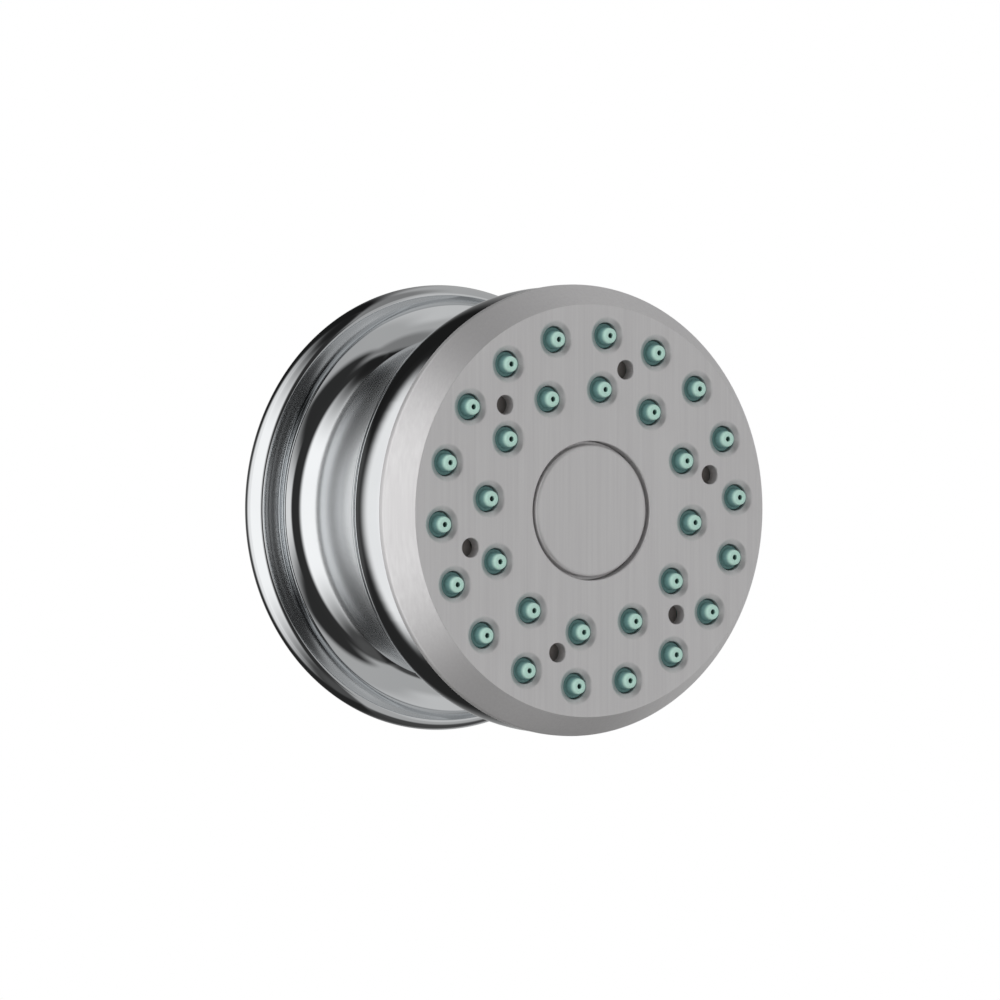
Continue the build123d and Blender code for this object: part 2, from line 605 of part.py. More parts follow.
# Distributor plate with two ring channels, feed holes and a boss for the centre screw
plate_cord_depth = (PLATE_BACK + PLATE_FRONT) / 2
plate_cord_r = SPIGOT_IN_R - CORD_GAP - CORD / 2
plate_floor_r = plate_cord_r - CORD / 2 - CORD_GAP
with BuildPart() as distributor_plate:
    with BuildSketch():
        ring_section(PAN_SCREW_R + THREAD_GAP, PLATE_R, PLATE_BACK, PLATE_FRONT)
        ring_section(PAN_SCREW_R + THREAD_GAP, PLUG_R, PLUG_END, PLATE_BACK)
    revolve(axis=Axis.Y)
    for channel_r in (INNER_R, OUTER_R):
        with BuildSketch():
            ring_section(
                channel_r - CHANNEL_W / 2, channel_r + CHANNEL_W / 2, PLATE_FRONT - CHANNEL_H, PLATE_FRONT
            )
        revolve(axis=Axis.Y, mode=Mode.SUBTRACT)
        with BuildSketch(front_plane(PLATE_BACK)):
            with ring_of(channel_r, FEED_N, VENT_TURN):
                Circle(FEED_R)
        extrude(amount=PLATE_T, mode=Mode.SUBTRACT)
    with BuildSketch():
        ring_section(
            plate_floor_r, SPIGOT_R, plate_cord_depth - CORD_GROOVE / 2, plate_cord_depth + CORD_GROOVE / 2
        )
    revolve(axis=Axis.Y, mode=Mode.SUBTRACT)
    with Locations(front_plane(PLATE_FRONT)):
        with ring_of(SCREW_RING_R, VENT_N, SCREW_TURN):
            CounterSinkHole(SCREW_R + THREAD_GAP, SCREW_HEAD_R + SLIP, PLATE_T, SCREW_SINK)
distributor_plate.part.label = "distributor_plate"
export_step(distributor_plate.part, "parts/distributor_plate.step")

# Countersunk screws that hold the distributor plate to the shell's bosses
screw_head_h = (SCREW_HEAD_R - SCREW_R) / tan(radians(SCREW_SINK / 2))
with BuildPart() as distributor_screws:
    with Locations(front_plane(PLATE_FRONT)):
        with ring_of(SCREW_RING_R, VENT_N, SCREW_TURN):
            Cone(SCREW_R, SCREW_HEAD_R, screw_head_h, align=(Align.CENTER, Align.CENTER, Align.MAX))
            Cylinder(SCREW_R, SCREW_L, align=(Align.CENTER, Align.CENTER, Align.MAX))
            Hole(SCREW_KEY_R, SCREW_KEY_H)
distributor_screws.part.label = "distributor_screws"
export_step(distributor_screws.part, "parts/distributor_screws.step")

# Cord round the distributor plate
with BuildPart() as chamber_o_ring:
    with BuildSketch():
        cord_section(plate_cord_r, plate_cord_depth, CORD)
    revolve(axis=Axis.Y)
chamber_o_ring.part.label = "chamber_o_ring"
export_step(chamber_o_ring.part, "parts/chamber_o_ring.step")

# Nozzle membrane, one soft moulding: sheet, tapered nozzles and their outlets
nozzle_shoulder = TIP - TIP_L
upright = (Align.CENTER, Align.CENTER, Align.MIN)
with BuildPart() as nozzle_membrane:
    with BuildSketch(front_plane(PLATE_FRONT)):
        Circle(SPIGOT_IN_R - SHEET_GAP)
        Circle(CUP_OUT_R + SHEET_GAP, mode=Mode.SUBTRACT)
        with ring_of(VENT_RING_R, VENT_N, VENT_TURN):
            Circle(VENT_R + VENT_ROOM, mode=Mode.SUBTRACT)
    extrude(amount=MEMBRANE_T)
    for ring in nozzle_rings():
        with BuildSketch(front_plane(SHEET_FRONT)):
            with ring:
                Circle(NOZZLE_R)
        extrude(amount=nozzle_shoulder - SHEET_FRONT)
    with Locations(front_plane(nozzle_shoulder)):
        for ring in nozzle_rings():
            with ring:
                Cone(TIP_BASE_R, TIP_R, TIP_L, align=upright)
    with Locations(front_plane(PLATE_FRONT)):
        for ring in nozzle_rings():
            with ring:
                Cone(INTAKE_R, ORIFICE_R, TIP - PLATE_FRONT, align=upright, mode=Mode.SUBTRACT)
nozzle_membrane.part.label = "nozzle_membrane"
export_step(nozzle_membrane.part, "parts/nozzle_membrane.step")

# Face plate: bevelled rim, skirt over the spigot, cup for the cap, nozzle holes in shallow dimples
skirt_step = SPIGOT_END + SHEET_GAP
with BuildPart() as face_plate:
    with BuildSketch() as face_profile:
        with BuildLine():
            Polyline(
                at(PAN_HOLE_R, PLATE_FRONT),
                at(CUP_OUT_R, PLATE_FRONT),
                at(CUP_OUT_R, SHEET_FRONT),
                at(SPIGOT_IN_R, SHEET_FRONT),
                at(SPIGOT_IN_R, skirt_step),
                at(SKIRT_IN_R, skirt_step),
                at(SKIRT_IN_R, SKIRT_BACK),
                at(HEAD_R, SKIRT_BACK),
                at(HEAD_R, FACE - RIM_BACK),
                at(FACE_R, FACE),
                at(CUP_R, FACE),
                at(CUP_R, CUP_TOP),
                at(PAN_SEAT_R, CUP_TOP),
                at(PAN_SEAT_R, CUP_TOP - PAN_CORD),
                at(PAN_HOLE_R, CUP_TOP - PAN_CORD),
                close=True,
            )
        make_face()
        fillet(corner(face_profile, FACE_R, FACE), radius=FACE_ROUND)
        fillet(corner(face_profile, HEAD_R, FACE - RIM_BACK), radius=RIM_ROUND)
        fillet(corner(face_profile, HEAD_R, SKIRT_BACK), radius=SKIRT_EDGE)
        fillet(corner(face_profile, CUP_R, FACE), radius=CUP_EDGE)
    revolve(axis=Axis.Y)
    with Locations(front_plane(FACE)):
        for ring in nozzle_rings():
            with ring:
                Hole(NOZZLE_R + NOZZLE_GAP, FACE_T)
                Cone(
                    NOZZLE_R + NOZZLE_GAP,
                    DIMPLE_R,
                    DIMPLE_H,
                    align=(Align.CENTER, Align.CENTER, Align.MAX),
                    mode=Mode.SUBTRACT,
                )
        with ring_of(VENT_RING_R, VENT_N, VENT_TURN):
            Hole(VENT_R, FACE_T)
face_plate.part.label = "face_plate"
export_step(face_plate.part, "parts/face_plate.step")

# Centre screw under the cap, with a key socket
with BuildPart() as centre_screw:
    with BuildSketch():
        ring_section(0, PAN_R, CUP_TOP, PAN_TOP)
        ring_section(0, PAN_SCREW_R, PLUG_END, CUP_TOP)
    revolve(axis=Axis.Y)
    with BuildSketch(front_plane(PAN_TOP)):
        RegularPolygon(PAN_KEY_AF / 2, 6, major_radius=False)
    extrude(amount=-PAN_KEY_L, mode=Mode.SUBTRACT)
centre_screw.part.label = "centre_screw"
export_step(centre_screw.part, "parts/centre_screw.step")

# Ring under the centre screw's head
with BuildPart() as screw_o_ring:
    with BuildSketch():
        cord_section((PAN_HOLE_R + PAN_SEAT_R) / 2, CUP_TOP - PAN_CORD / 2, PAN_CORD)
    revolve(axis=Axis.Y)
screw_o_ring.part.label = "screw_o_ring"
export_step(screw_o_ring.part, "parts/screw_o_ring.step")

# Centre cap with a skirt and a snap bead
with BuildPart() as centre_cap:
    with BuildSketch() as cap_profile:
        with BuildLine():
            Polyline(
                at(0, FACE),
                at(CAP_R, FACE),
                at(CAP_R, CUP_TOP + CAP_BEAD),
                at(CUP_R - SLIP, CUP_TOP + CAP_BEAD),
                at(CUP_R - SLIP, CUP_TOP),
                at(CAP_R - CAP_WALL, CUP_TOP),
                at(CAP_R - CAP_WALL, CAP_BACK),
                at(0, CAP_BACK),
                close=True,
            )
        make_face()
        fillet(corner(cap_profile, CAP_R, FACE), radius=CAP_EDGE)
    revolve(axis=Axis.Y)
centre_cap.part.label = "centre_cap"
export_step(centre_cap.part, "parts/centre_cap.step")
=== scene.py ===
"""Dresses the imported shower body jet: finishes, finer shapes for four pieces, and a studio to see it in.

Lengths are in metres. The wall is the plane y = 0, the jet faces -Y and +Z is up.
A depth is a distance from the wall towards the room.
"""
from math import acos, asin, atan2, cos, pi, radians, sin, sqrt, tan

import bmesh
import bpy
from bpy.props import FloatProperty, FloatVectorProperty, IntProperty, PointerProperty
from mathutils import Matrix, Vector


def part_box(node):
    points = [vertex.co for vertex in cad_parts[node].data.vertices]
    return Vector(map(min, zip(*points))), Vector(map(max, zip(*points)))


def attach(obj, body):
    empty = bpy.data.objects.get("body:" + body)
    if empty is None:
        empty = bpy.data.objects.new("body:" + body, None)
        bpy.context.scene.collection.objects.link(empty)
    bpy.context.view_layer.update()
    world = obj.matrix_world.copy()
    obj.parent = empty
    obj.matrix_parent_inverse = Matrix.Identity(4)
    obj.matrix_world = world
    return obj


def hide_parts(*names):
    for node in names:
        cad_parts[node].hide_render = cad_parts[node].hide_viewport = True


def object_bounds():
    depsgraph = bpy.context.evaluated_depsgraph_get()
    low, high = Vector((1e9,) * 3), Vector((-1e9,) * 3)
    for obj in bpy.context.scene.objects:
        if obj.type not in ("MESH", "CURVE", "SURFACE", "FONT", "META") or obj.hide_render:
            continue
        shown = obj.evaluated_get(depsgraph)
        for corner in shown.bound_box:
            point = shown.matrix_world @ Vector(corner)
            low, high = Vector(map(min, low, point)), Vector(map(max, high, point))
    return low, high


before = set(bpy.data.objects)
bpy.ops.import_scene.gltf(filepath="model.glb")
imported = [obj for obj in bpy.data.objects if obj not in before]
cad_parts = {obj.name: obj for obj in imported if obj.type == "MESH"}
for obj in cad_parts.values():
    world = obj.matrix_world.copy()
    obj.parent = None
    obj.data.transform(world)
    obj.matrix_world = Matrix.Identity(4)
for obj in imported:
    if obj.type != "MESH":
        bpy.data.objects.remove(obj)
CAD_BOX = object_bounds()

bl_info = {
    "name": "Shower body jet",
    "version": (1, 0, 0),
    "blender": (4, 5, 0),
    "location": "View3D > Sidebar > Body jet",
    "description": "Dresses a shower body jet with its finishes and its studio",
    "category": "Object",
}

MM = 0.001
SHARP_ANGLE = radians(28)   # edges that turn by more than this stay sharp
SLIP = 0.1 * MM             # fitting gap between pieces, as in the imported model
MARGIN = 0.3 * MM           # flat strip between a turned edge and the filled face that joins it

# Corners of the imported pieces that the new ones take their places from
FLANGE_LOW, FLANGE_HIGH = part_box("wall_flange")
FACE_LOW, FACE_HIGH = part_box("face_plate")
SHEET_LOW, SHEET_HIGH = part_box("nozzle_membrane")
FITTING_LOW, FITTING_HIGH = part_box("inlet_fitting")
INLET_SEAL_LOW, INLET_SEAL_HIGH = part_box("inlet_seal")
LIMITER_LOW, LIMITER_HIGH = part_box("flow_regulator")
PLATE_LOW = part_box("distributor_plate")[0]
WASHER_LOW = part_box("clamp_washer")[0]
CAP_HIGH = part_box("centre_cap")[1]

# Segments of each kind of turned edge
FLANGE_SEGMENTS = 300
RIM_SEGMENTS = 256
CUP_SEGMENTS = 160
SHEET_SEGMENTS = 160
SHEET_HOLE_SEGMENTS = 96
FITTING_SEGMENTS = 120
DIMPLE_SEGMENTS = 56
NOZZLE_SEGMENTS = 48
VENT_SEGMENTS = 40

# Sockets of a node that mixes two colours
MIX_FACTOR = 0
MIX_FIRST = 6
MIX_SECOND = 7
MIX_RESULT = 2


# Settings

def linear(code):
    """Linear colour of an sRGB hex value."""
    parts = [int(code[i : i + 2], 16) / 255 for i in (1, 3, 5)]
    return [part / 12.92 if part <= 0.04045 else ((part + 0.055) / 1.055) ** 2.4 for part in parts]


def length(name, millimetres, description):
    """Size that a user may change."""
    return FloatProperty(
        name=name, description=description, default=millimetres * MM, unit="LENGTH", precision=5
    )


def turn(name, degrees, description):
    """Angle that a user may change."""
    return FloatProperty(name=name, description=description, default=radians(degrees), subtype="ANGLE")


def count(name, number, description):
    """Number of like pieces that a user may change."""
    return IntProperty(name=name, description=description, default=number, min=1, subtype="UNSIGNED")


def colour(name, code, description):
    """Colour that a user may change."""
    return FloatVectorProperty(
        name=name, description=description, default=linear(code), subtype="COLOR", min=0, max=1
    )


class BODYJET_PG_flange(bpy.types.PropertyGroup):
    """Sizes of the wall flange and its neck."""

    widest_depth: length("Widest depth", 5.6, "Depth of the flange's widest circle")
    side_turn: turn("Side turn", 35, "How far the side turns back before it runs straight to the wall")
    lip_inset: length("Lip inset", 1.8, "How far the lip's crest lies inside the widest circle")
    lip_depth: length("Lip depth", 8.6, "Depth of the lip's crest")
    lip_round: length("Lip rounding", 0.8, "Rounding of the lip's crest")
    bell_round: length("Bell rounding", 6.3, "Radius of the hollow curve from the lip to the neck")
    neck_radius: length("Neck", 30.4, "Radius of the neck")
    neck_wall: length("Neck wall", 2.2, "Thickness of the neck's wall")
    neck_edge: length("Neck edge", 0.7, "Rounding of the neck's edges")
    web_back: length("Web back", 2.4, "Depth of the back of the web inside the flange")
    web_thickness: length("Web", 3.0, "Thickness of that web")
    web_hole: length("Web hole", 13.4, "Radius of the hole in that web")
    groove_land: length("Groove land", 1.0, "Metal between the neck's bore and the gasket's groove")
    groove_width: length("Groove width", 3.2, "Width of the gasket's groove")
    groove_floor: length("Groove floor", 1.6, "Depth of the groove's floor")


class BODYJET_PG_face(bpy.types.PropertyGroup):
    """Sizes of the spray face."""

    bevel_width: length("Bevel width", 3.6, "Width of the bevel round the flat face")
    bevel_drop: length("Bevel drop", 5.0, "How far the bevel reaches behind the face")
    face_round: length("Face rounding", 0.12, "Rounding between bevel and face")
    rim_round: length("Rim rounding", 1.0, "Rounding between bevel and skirt")
    skirt_wall: length("Skirt wall", 1.6, "Thickness of the skirt")
    skirt_edge: length("Skirt edge", 0.5, "Rounding of the skirt's back edge")
    skirt_inner_edge: length("Skirt inner edge", 0.15, "Rounding of the skirt's inner edge")
    spigot_wall: length("Spigot wall", 2.2, "Room for the shell's spigot behind the skirt")
    skirt_room: length("Skirt room", 4.5, "How far the face lies in front of the skirt's inner step")
    plate_thickness: length("Face thickness", 2.4, "Thickness of the face plate")
    cup_edge: length("Cup edge", 0.25, "Rounding of the face's edge round the cap")
    cup_wall: length("Cup wall", 1.2, "Wall of the cup under the cap")
    cup_floor: length("Cup floor", 1.2, "Floor of the cup under the cap")
    cup_room: length("Cup room", 0.3, "Gap between that cup and the membrane")
    screw_seat: length("Screw seat", 3.0, "Radius of the seat of the centre screw's ring")
    screw_hole: length("Screw hole", 2.2, "Radius of the hole for the centre screw")
    seat_depth: length("Seat depth", 0.7, "Depth of that seat")


class BODYJET_PG_nozzles(bpy.types.PropertyGroup):
    """Pattern and sizes of the nozzles and holes."""

    pattern_turn: turn("Turn", 4, "Angle that the head is turned on its ball")
    outer_count: count("Outer nozzles", 18, "Nozzles in the outer ring")
    outer_radius: length("Outer ring", 31.05, "Radius of the outer ring")
    inner_count: count("Inner nozzles", 12, "Nozzles in the inner ring")
    inner_radius: length("Inner ring", 21.5, "Radius of the inner ring")
    inner_turn: turn("Inner turn", -10, "Angle that the inner ring is turned")
    vent_count: count("Holes", 6, "Round holes between the rings")
    vent_ring: length("Hole ring", 25.9, "Radius of the ring of holes")
    vent_turn: turn("Hole turn", 10, "Angle that the holes are turned")
    vent_radius: length("Hole radius", 1.7, "Radius of a round hole")
    vent_room: length("Hole room", 0.9, "How much wider the membrane's hole is")
    hole_edge: length("Hole edge", 0.2, "Rounding of the edges of the face plate's holes")
    base_radius: length("Nozzle base", 2.2, "Radius of a nozzle's base")
    base_gap: length("Nozzle gap", 0.15, "Gap between nozzle and face plate")
    base_edge: length("Base edge", 0.2, "Rounding of the base's edge and of the corner above it")
    tip_base: length("Tip base", 1.65, "Radius of the tapered tip where it leaves the base")
    tip_radius: length("Tip end", 1.3, "Radius of the tip at its end")
    tip_length: length("Tip length", 2.2, "Length of the tapered tip")
    tip_edge: length("Tip edge", 0.4, "Rounding of the tip's end")
    # Painted light: this length of each tip, from its end, is painted paler as if lit, and the rest darker
    # as painted shade
    lit_tip_length: length("Pale length", 1.1, "Length of the tip that is thin enough to look pale")
    orifice: length("Orifice", 0.45, "Radius of a nozzle's outlet")
    orifice_edge: length("Orifice edge", 0.12, "Rounding of that outlet's edge")
    intake: length("Intake", 1.1, "Radius of a nozzle's intake")
    dimple_radius: length("Dimple", 3.3, "Radius of the shallow dimple round a nozzle")
    dimple_depth: length("Dimple depth", 0.6, "Depth of that dimple")
    dimple_edge: length("Dimple edge", 0.8, "Rounding of that dimple's edge")


class BODYJET_PG_fitting(bpy.types.PropertyGroup):
    """Sizes of the inlet fitting."""

    thread_radius: length("Thread radius", 9.3, "Radius at the crests of the half-inch inlet thread")
    thread_pitch: length("Thread pitch", 1.814, "Distance between the turns of that thread")
    thread_depth: length("Thread depth", 1.16, "Height of the thread")
    thread_lead: length("Thread lead", 0.6, "Chamfer at the thread's mouth")
    socket_wall: length("Socket wall", 3.7, "Wall round the thread")
    collar_thickness: length("Collar", 1.6, "Thickness of the collar")
    edge: length("Edges", 0.35, "Chamfer of the outer edges")
    hexagon: length("Hexagon", 27.0, "Width of the hexagon across its flats")
    hexagon_length: length("Hexagon length", 5.4, "Length of the hexagon")
    cone_length: length("Cone length", 9.0, "Length of the cone between hexagon and stem")
    stem: length("Stem", 6.0, "Radius of the stem behind the ball")
    ball: length("Ball", 10.0, "Radius of the ball")
    ball_depth: length("Ball depth", 38.0, "Depth of the ball's centre")
    water_way: length("Water way", 3.5, "Radius of the water way")
    key: length("Key", 8.0, "Width of the key socket across its flats")
    key_length: length("Key length", 7.0, "Depth of the key socket")


class BODYJET_PG_colours(bpy.types.PropertyGroup):
    """Colours of the finishes and of the floor."""

    chrome: colour("Chrome", "#EEF0F1", "Bright chrome plate")
    chrome_haze: colour("Chrome haze", "#E4E6E8", "Chrome where it was wiped dry")
    satin: colour("Satin", "#E3E2E2", "Satin plate of the spray face")
    satin_dark: colour("Satin, dark", "#D7D5D6", "Satin plate in the brush lines")
    # The two silicone colours are painted light and shade: the darker one is painted shade of the recesses
    # round the nozzles' bases, the paler one painted light on the tips
    silicone: colour("Silicone", "#648B89", "Teal silicone where the moulding is thick")
    silicone_lit_tip: colour("Silicone, thin", "#B8DCD0", "Silicone at the thin tips")
    plate: colour("Plate", "#B4ACA8", "Grey moulded plate behind the holes")
    brass: colour("Brass", "#C9A45A", "Machined brass")
    brass_dark: colour("Brass, dark", "#A98342", "Stained brass")
    steel: colour("Steel", "#B9BBBC", "Stainless steel")
    rubber: colour("Rubber", "#1D1D1D", "Seal rubber")
    foam: colour("Foam", "#3B3D40", "Foam of the wall gasket")
    acetal: colour("Acetal", "#E6E4DC", "White acetal")
    limiter: colour("Limiter", "#D8D3C0", "Pale plastic of the flow limiter")
    paper: colour("Paper", "#F4F4F2", "Paper of the studio's floor")


class BODYJET_PG_stage(bpy.types.PropertyGroup):
    """Camera, floor and light."""

    azimuth: turn("Azimuth", -33, "Camera's angle from the jet's axis, negative to the left")
    elevation: turn("Elevation", 0.77, "Camera's angle above the jet's axis")
    distance: length("Distance", 1000, "Distance from the camera to the front of the jet")
    focal: FloatProperty(
        name="Focal length", description="Camera's focal length", default=204.3, unit="CAMERA"
    )
    sensor: FloatProperty(
        name="Sensor", description="Width of the camera's sensor", default=36, unit="CAMERA"
    )
    across: length("Framing across", 16.8, "How far the jet's front lies to the right of the middle")
    down: length("Framing down", 1.9, "How far the jet's front lies below the middle")
    floor_drop: length("Floor", 410, "How far the floor lies below the jet's axis")
    floor_radius: length("Floor radius", 1300, "Radius of the floor")
    floor_plain: length("Floor plain", 390, "Radius at which the floor begins to fade into the room")
    floor_faded: length("Floor faded", 1261, "Radius at which the floor has faded into the room")
    tent_radius: length("Tent radius", 1500, "Radius of the tent that the metal mirrors")
    room_light: FloatProperty(
        name="Room light", description="Even light of the room", default=0.62, min=0, max=1, subtype="FACTOR"
    )
    key_power: FloatProperty(
        name="Key power", description="Power of the key lamp", default=5.0, unit="POWER"
    )
    key_azimuth: turn("Key azimuth", -72, "Key lamp's angle from the jet's axis, negative to the left")
    key_elevation: turn("Key elevation", 28, "Key lamp's angle above the jet's axis")
    key_distance: length("Key distance", 1200, "Distance of the key lamp")
    key_size: length("Key size", 700, "Width of the key lamp")


# Finishes

def add(tree, kind, inputs=None, **settings):
    """Adds a node with its settings; an input is a plain value or an output to link."""
    node = tree.nodes.new(kind)
    for name, value in settings.items():
        setattr(node, name, value)
    for name, value in (inputs or {}).items():
        if isinstance(value, bpy.types.NodeSocket):
            tree.links.new(value, node.inputs[name])
        else:
            node.inputs[name].default_value = value
    return node


def new_finish(name):
    """Empty material and its node tree."""
    material = bpy.data.materials.new(name)
    material.use_nodes = True
    material.node_tree.nodes.clear()
    return material, material.node_tree


def opaque(value):
    """Colour with full cover, as a node's socket takes it."""
    return (*value, 1)


def chrome_plated_brass(colours, satin_start, satin_end):
    """Bright chrome over turned brass, with a satin band between two depths."""
    # A clear mirror with a breath of wiping haze, and a slow ripple left by the polishing wheel. The satin
    # band keeps its fine turning marks, which spread what it mirrors
    material, tree = new_finish("chrome_plated_brass_polished")
    haze_size = 14 * MM
    ripple_size = 30 * MM
    satin_edge = 1.5 * MM
    satin_roughness = 0.26
    place = add(tree, "ShaderNodeTexCoord").outputs["Object"]
    haze = add(tree, "ShaderNodeTexNoise", {"Vector": place, "Scale": 1 / haze_size, "Detail": 5})
    tint = add(
        tree,
        "ShaderNodeMix",
        {
            MIX_FIRST: opaque(colours.chrome),
            MIX_SECOND: opaque(colours.chrome_haze),
            MIX_FACTOR: haze.outputs[0],
        },
        data_type="RGBA",
    )
    gloss = add(
        tree,
        "ShaderNodeMapRange",
        {0: haze.outputs[0], "From Min": 0.35, "From Max": 0.75, "To Min": 0.008, "To Max": 0.03},
    )
    along = add(tree, "ShaderNodeSeparateXYZ", {0: place}).outputs["Y"]
    past_start = add(
        tree,
        "ShaderNodeMapRange",
        {0: along, "From Min": -satin_start, "From Max": -satin_start - satin_edge},
        interpolation_type="SMOOTHSTEP",
    )
    before_end = add(
        tree,
        "ShaderNodeMapRange",
        {0: along, "From Min": -satin_end, "From Max": -satin_end + satin_edge},
        interpolation_type="SMOOTHSTEP",
    )
    satin = add(
        tree,
        "ShaderNodeMath",
        {0: past_start.outputs[0], 1: before_end.outputs[0]},
        operation="MULTIPLY",
    )
    roughness = add(
        tree,
        "ShaderNodeMapRange",
        {0: satin.outputs[0], "To Min": gloss.outputs[0], "To Max": satin_roughness},
    )
    ripple = add(tree, "ShaderNodeTexNoise", {"Vector": place, "Scale": 1 / ripple_size, "Detail": 1})
    bump = add(
        tree, "ShaderNodeBump", {"Height": ripple.outputs[0], "Strength": 0.02, "Distance": 0.03 * MM}
    )
    shader = add(
        tree,
        "ShaderNodeBsdfPrincipled",
        {
            "Base Color": tint.outputs[MIX_RESULT],
            "Metallic": 1,
            "Roughness": roughness.outputs[0],
            "Normal": bump.outputs[0],
        },
    )
    add(tree, "ShaderNodeOutputMaterial", {"Surface": shader.outputs[0]})
    return material


def satin_plated_abs(colours):
    """Satin plate over moulded ABS."""
    # A soft metal sheen with upright brush lines; real lines are about 0.05 mm and are drawn coarser to show
    material, tree = new_finish("satin_plated_abs_brushed")
    line_width = 0.45 * MM
    line_length = 26 * MM
    grit_size = 0.35 * MM
    place = add(tree, "ShaderNodeTexCoord").outputs["Object"]
    stretched = add(
        tree,
        "ShaderNodeMapping",
        {"Vector": place, "Scale": (1 / line_width, 1 / line_width, 1 / line_length)},
    )
    lines = add(tree, "ShaderNodeTexNoise", {"Vector": stretched.outputs[0], "Scale": 1, "Detail": 3})
    grit = add(tree, "ShaderNodeTexNoise", {"Vector": place, "Scale": 1 / grit_size, "Detail": 2})
    tint = add(
        tree,
        "ShaderNodeMix",
        {
            MIX_FIRST: opaque(colours.satin),
            MIX_SECOND: opaque(colours.satin_dark),
            MIX_FACTOR: lines.outputs[0],
        },
        data_type="RGBA",
    )
    gloss = add(
        tree,
        "ShaderNodeMapRange",
        {0: lines.outputs[0], "From Min": 0.3, "From Max": 0.7, "To Min": 0.36, "To Max": 0.45},
    )
    fine = add(tree, "ShaderNodeBump", {"Height": grit.outputs[0], "Strength": 0.04, "Distance": 0.02 * MM})
    bump = add(
        tree,
        "ShaderNodeBump",
        {
            "Height": lines.outputs[0],
            "Strength": 0.05,
            "Distance": 0.02 * MM,
            "Normal": fine.outputs[0],
        },
    )
    shader = add(
        tree,
        "ShaderNodeBsdfPrincipled",
        {
            "Base Color": tint.outputs[MIX_RESULT],
            "Metallic": 0.7,
            "Roughness": gloss.outputs[0],
            "Normal": bump.outputs[0],
        },
    )
    add(tree, "ShaderNodeOutputMaterial", {"Surface": shader.outputs[0]})
    return material


def silicone_rubber(colours, lit_tip_length):
    """Soft moulded silicone, painted paler near the nozzles' ends as painted light and darker further back
    as painted shade.
    """
    # Matte and a little see-through. The paler tips are painted light and the darker bases and sheet are
    # painted shade; the real grain is 0.03 mm, drawn coarser
    material, tree = new_finish("silicone_rubber_moulded")
    grain_size = 0.22 * MM
    place = add(tree, "ShaderNodeTexCoord").outputs["Object"]
    along = add(tree, "ShaderNodeSeparateXYZ", {0: place}).outputs["Y"]
    # Painted light: the mask is 1 at the nozzles' tips, which get the paler colour, and 0 further back,
    # which gets the darker painted shade
    lit = add(
        tree,
        "ShaderNodeMapRange",
        {0: along, "From Min": SHEET_LOW.y + lit_tip_length, "From Max": SHEET_LOW.y},
        interpolation_type="SMOOTHSTEP",
    )
    grain = add(tree, "ShaderNodeTexNoise", {"Vector": place, "Scale": 1 / grain_size, "Detail": 2})
    tint = add(
        tree,
        "ShaderNodeMix",
        {
            MIX_FIRST: opaque(colours.silicone),
            MIX_SECOND: opaque(colours.silicone_lit_tip),
            MIX_FACTOR: lit.outputs[0],
        },
        data_type="RGBA",
    )
    gloss = add(
        tree,
        "ShaderNodeMapRange",
        {0: grain.outputs[0], "From Min": 0.3, "From Max": 0.7, "To Min": 0.42, "To Max": 0.55},
    )
    bump = add(tree, "ShaderNodeBump", {"Height": grain.outputs[0], "Strength": 0.1, "Distance": 0.03 * MM})
    shader = add(
        tree,
        "ShaderNodeBsdfPrincipled",
        {
            "Base Color": tint.outputs[MIX_RESULT],
            "Roughness": gloss.outputs[0],
            "IOR": 1.41,
            "Subsurface Weight": 0.12,
            "Subsurface Radius": (0.4 * MM, 0.6 * MM, 0.5 * MM),
            "Subsurface Scale": 1,
            "Normal": bump.outputs[0],
        },
    )
    add(tree, "ShaderNodeOutputMaterial", {"Surface": shader.outputs[0]})
    return material


def machined_brass(colours):
    """Brass as it leaves the lathe."""
    # Fine rings round the axis from the tool; real feed marks are 0.08 mm and are drawn coarser to show
    material, tree = new_finish("brass_turned")
    mark_pitch = 0.3 * MM
    wave_pitch = pi / 10    # distance between the bands of a wave texture of scale 1
    stain_size = 6 * MM
    place = add(tree, "ShaderNodeTexCoord").outputs["Object"]
    marks = add(
        tree,
        "ShaderNodeTexWave",
        {"Vector": place, "Scale": wave_pitch / mark_pitch, "Distortion": 0.6, "Detail": 1},
        wave_type="BANDS",
        bands_direction="Y",
    )
    stain = add(tree, "ShaderNodeTexNoise", {"Vector": place, "Scale": 1 / stain_size, "Detail": 4})
    tint = add(
        tree,
        "ShaderNodeMix",
        {
            MIX_FIRST: opaque(colours.brass),
            MIX_SECOND: opaque(colours.brass_dark),
            MIX_FACTOR: stain.outputs[0],
        },
        data_type="RGBA",
    )
    gloss = add(
        tree,
        "ShaderNodeMapRange",
        {0: stain.outputs[0], "From Min": 0.3, "From Max": 0.7, "To Min": 0.2, "To Max": 0.36},
    )
    bump = add(tree, "ShaderNodeBump", {"Height": marks.outputs[0], "Strength": 0.06, "Distance": 0.02 * MM})
    shader = add(
        tree,
        "ShaderNodeBsdfPrincipled",
        {
            "Base Color": tint.outputs[MIX_RESULT],
            "Metallic": 1,
            "Roughness": gloss.outputs[0],
            "Normal": bump.outputs[0],
        },
    )
    add(tree, "ShaderNodeOutputMaterial", {"Surface": shader.outputs[0]})
    return material


